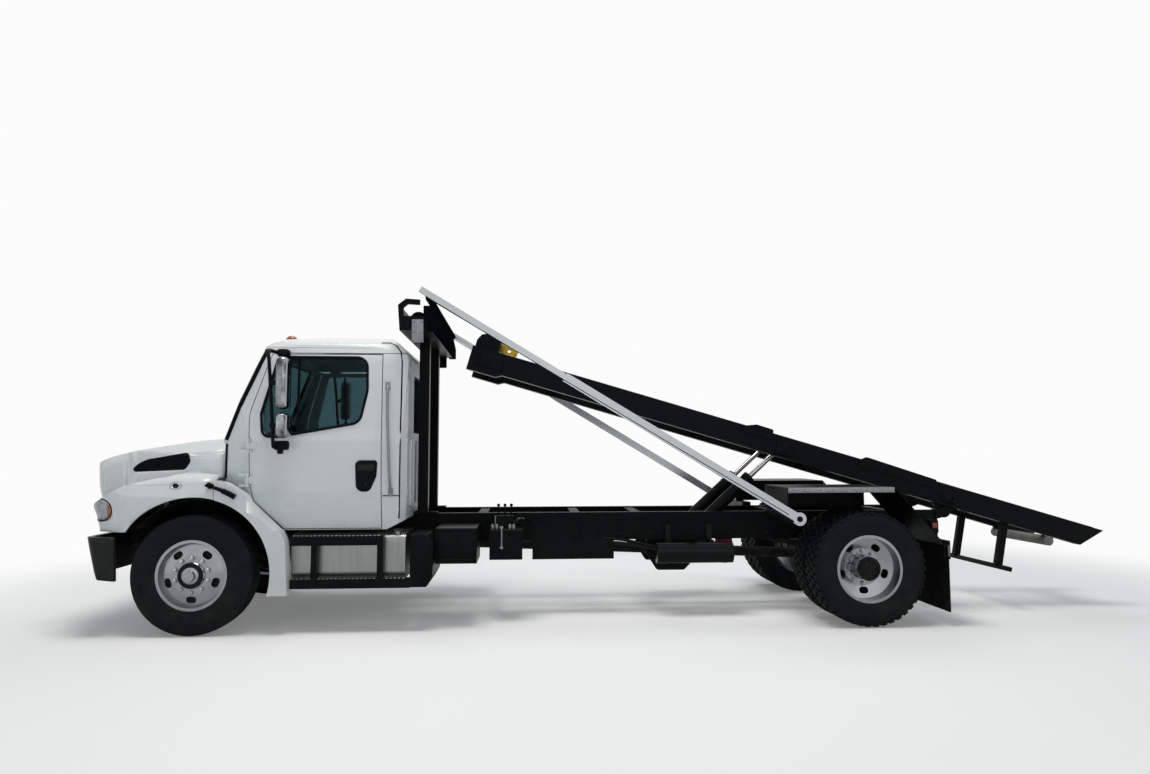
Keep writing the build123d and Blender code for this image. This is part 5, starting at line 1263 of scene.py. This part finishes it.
# %% Tarp guard and pocket
GUARD = [(-2.012, 2.604), (-2.012, 2.712), (-1.982, 2.842), (-1.900, 2.842), (-1.900, 2.834),
         (-1.976, 2.834), (-2.004, 2.711), (-2.004, 2.604)]
CHEEK = [(-2.010, 2.604), (-2.010, 2.712), (-1.980, 2.840), (-1.900, 2.840), (-1.900, 2.714),
         (-1.934, 2.708), (-1.934, 2.604)]
GUARD_REACH = 1.050
BOW = (-1.9624, 2.8833)
guard = prism([station(x, -GUARD_REACH, z) for x, z in GUARD], (0, 2 * GUARD_REACH, 0), 0.002, 1)
settle(guard, "tarp_guard", "tarp_black", "chassis")
cheek = prism([station(x, GUARD_REACH + 0.002, z) for x, z in CHEEK], (0, 0.008, 0), 0.002, 1)
both(cheek, "guard_cheek", "tarp_black", CHASSIS)
pocket = lathe([(0.0255, -1.190), (0.031, -1.180), (0.031, 1.180), (0.0255, 1.190), (0.0255, -1.190)],
               station(BOW[0], 0, BOW[1]), steps=24)
settle(pocket, "bow_pocket", "tarp_black", "tarp_arms")

# %% [markdown]
# Each arm is an extruded tube. A thin dark strip on its outer face is a painted reflection: the dark band
# that a polished tube shows, laid on the arm's own line, from the pivot to the tip.

# %% Arm painted reflection band
ARM_PIVOT = station(-5.199, 1.2535, 0.951)
ARM_WAY = Vector((0.8585, 0, 0.5128))
ARM_UP = Vector((-0.5128, 0, 0.8585))
REFLECTION_BAND = [(0.10, -0.017), (3.79, -0.017), (3.79, -0.010), (0.10, -0.010)]
# The thin dark strip on the arm's outer face is a painted reflection band of the polished tube.
reflection_band = prism([ARM_PIVOT + ARM_WAY * s + ARM_UP * v for s, v in REFLECTION_BAND], (0, 0.003, 0), 0.0008, 1)
both(reflection_band, "arm_reflection_band", "black_rubber", ("tarp_arms", "tarp_arms"))

# %% [markdown]
# ## Rear end
# The rear fenders have a bright chequered edge. A clip holds each mudflap and carries a side marker,
# and each tail lamp has a red lens on its rear face and a small one on its side. All are rounded
# bricks that stand a little proud of what carries them.

# %% Fender edge, clip and lenses
edge = slab((-6.085, 1.1985, 1.176), (-5.120, 1.203, 1.222), 0.002)
both(edge, "fender_edge", "chequer", CHASSIS)
clip = slab((-6.575, 1.150, 0.585), (-6.545, 1.206, 0.735))
marker = slab((-6.568, 1.203, 0.612), (-6.550, 1.212, 0.708), 0.003)
both(clip, "flap_clip", "black_paint", CHASSIS)
(rear_x, _, low_z), (_, out_y, top_z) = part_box("tail_lamps")
rear_lens = brick((rear_x - 0.006, out_y - 0.150, low_z + 0.03),
                  (rear_x + 0.010, out_y - 0.012, top_z - 0.02))
side_lens = brick((rear_x + 0.012, out_y - 0.006, top_z - 0.075),
                  (rear_x + 0.058, out_y + 0.004, top_z - 0.025), 0.003)
both(merge(side_lens, rear_lens), "lamp_lens", "red_lens", CHASSIS)
both(marker, "side_marker", "worn_plate", CHASSIS)

# %% [markdown]
# ## Seats
# A truck seat is foam in a sewn cover. A rounded brick, a little too small, is given an even skin
# and blown up as cloth with air inside; how far it may swell is capped. One cushion and one back
# are made, then copied for the second seat.

# %% Padded seats
SEAT_MID = 0.460
SWELL, VOXEL, PRESSURE, FRAMES = 0.028, 0.012, 4, 20


def puffed(low, high, edge):
    """A brick of cloth that air has filled, so its faces crown between the corners."""
    item = slab(low, high, edge, 3)
    item.modifiers.new("skin", "REMESH").voxel_size = VOXEL
    applied(item, "skin")
    before = [v.co.copy() for v in item.data.vertices]
    cloth_mod = item.modifiers.new("air", "CLOTH")
    cloth_mod.settings.use_pressure = True
    cloth_mod.settings.uniform_pressure_force = PRESSURE
    cloth_mod.settings.effector_weights.gravity = 0
    for step in range(1, FRAMES + 1):
        bpy.context.scene.frame_set(step)
    applied(item, "air")
    bpy.context.scene.frame_set(1)
    for vertex, start in zip(item.data.vertices, before):
        step = vertex.co - start
        vertex.co = start + step * min(1.0, SWELL / max(step.length, 1e-6))
    item.modifiers.new("fine", "SUBSURF").levels = 1
    applied(item, "fine")
    return item


STAND = [(-1.560, 1.020, 0.02), (-1.040, 1.020, 0.02), (-1.080, 1.270, 0.04), (-1.560, 1.270, 0.04)]
cushion = puffed((-1.455, SEAT_MID - 0.225, 1.295), (-1.005, SEAT_MID + 0.225, 1.395), 0.045)
rest = puffed((-1.580, SEAT_MID - 0.220, 1.410), (-1.500, SEAT_MID + 0.220, 1.990), 0.038)
stand = prism([station(x, SEAT_MID - 0.20, z) for x, z in rounded(STAND)], (0, 0.40, 0), 0.01)
cushions = both(cushion, "seat_cushion", "seat_cloth", CHASSIS, 60)
rests = both(rest, "seat_rest", "seat_cloth", CHASSIS, 60)
both(stand, "seat_stand", "dash_plastic", CHASSIS)
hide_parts("seats")

# %% [markdown]
# ## Cab rear corner
# A dark gasket closes the joint between the corner panel and the back wall, and a grab bar with
# bolted feet stands beside the door. Both follow rays onto the cab's skin.

# %% Gasket and grab bar
GASKET = [(-1.50, 2.530), (-1.58, 2.530), (-1.64, 2.500), (-1.685, 2.440), (-1.700, 2.350), (-1.703, 2.0),
          (-1.703, 1.6), (-1.703, 1.2), (-1.703, 0.96)]
CORNER = ["cab_back", "cab_roof", "cab_floor"]
gasket = laid(CORNER, GASKET, -0.004, 0.008)
both(gasket, "corner_gasket", "black_rubber", CHASSIS)
split = laid(["cab_back"], [(-1.560 - 0.014 * n, 1.160) for n in range(11)], -0.001, 0.005)
both(split, "corner_split", "black_rubber", CHASSIS)
GRAB = [(-1.580, 2.131, 0.004), (-1.584, 2.05, 0.046), (-1.606, 1.66, 0.050), (-1.627, 1.27, 0.046),
        (-1.631, 1.189, 0.004)]
bar_line = [beside(["cab_back", "door_left"], *row) for row in GRAB]
grab = tube(bar_line, 0.012, bend=True)
feet = [brick(p - Vector((0.022, 0.006, 0.036)), p + Vector((0.022, 0.010, 0.036)), 0.006)
        for p in (bar_line[0], bar_line[-1])]
rails = both(merge(*feet, grab), "grab_rail", "grey_steel", CHASSIS)
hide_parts("grab_bars")
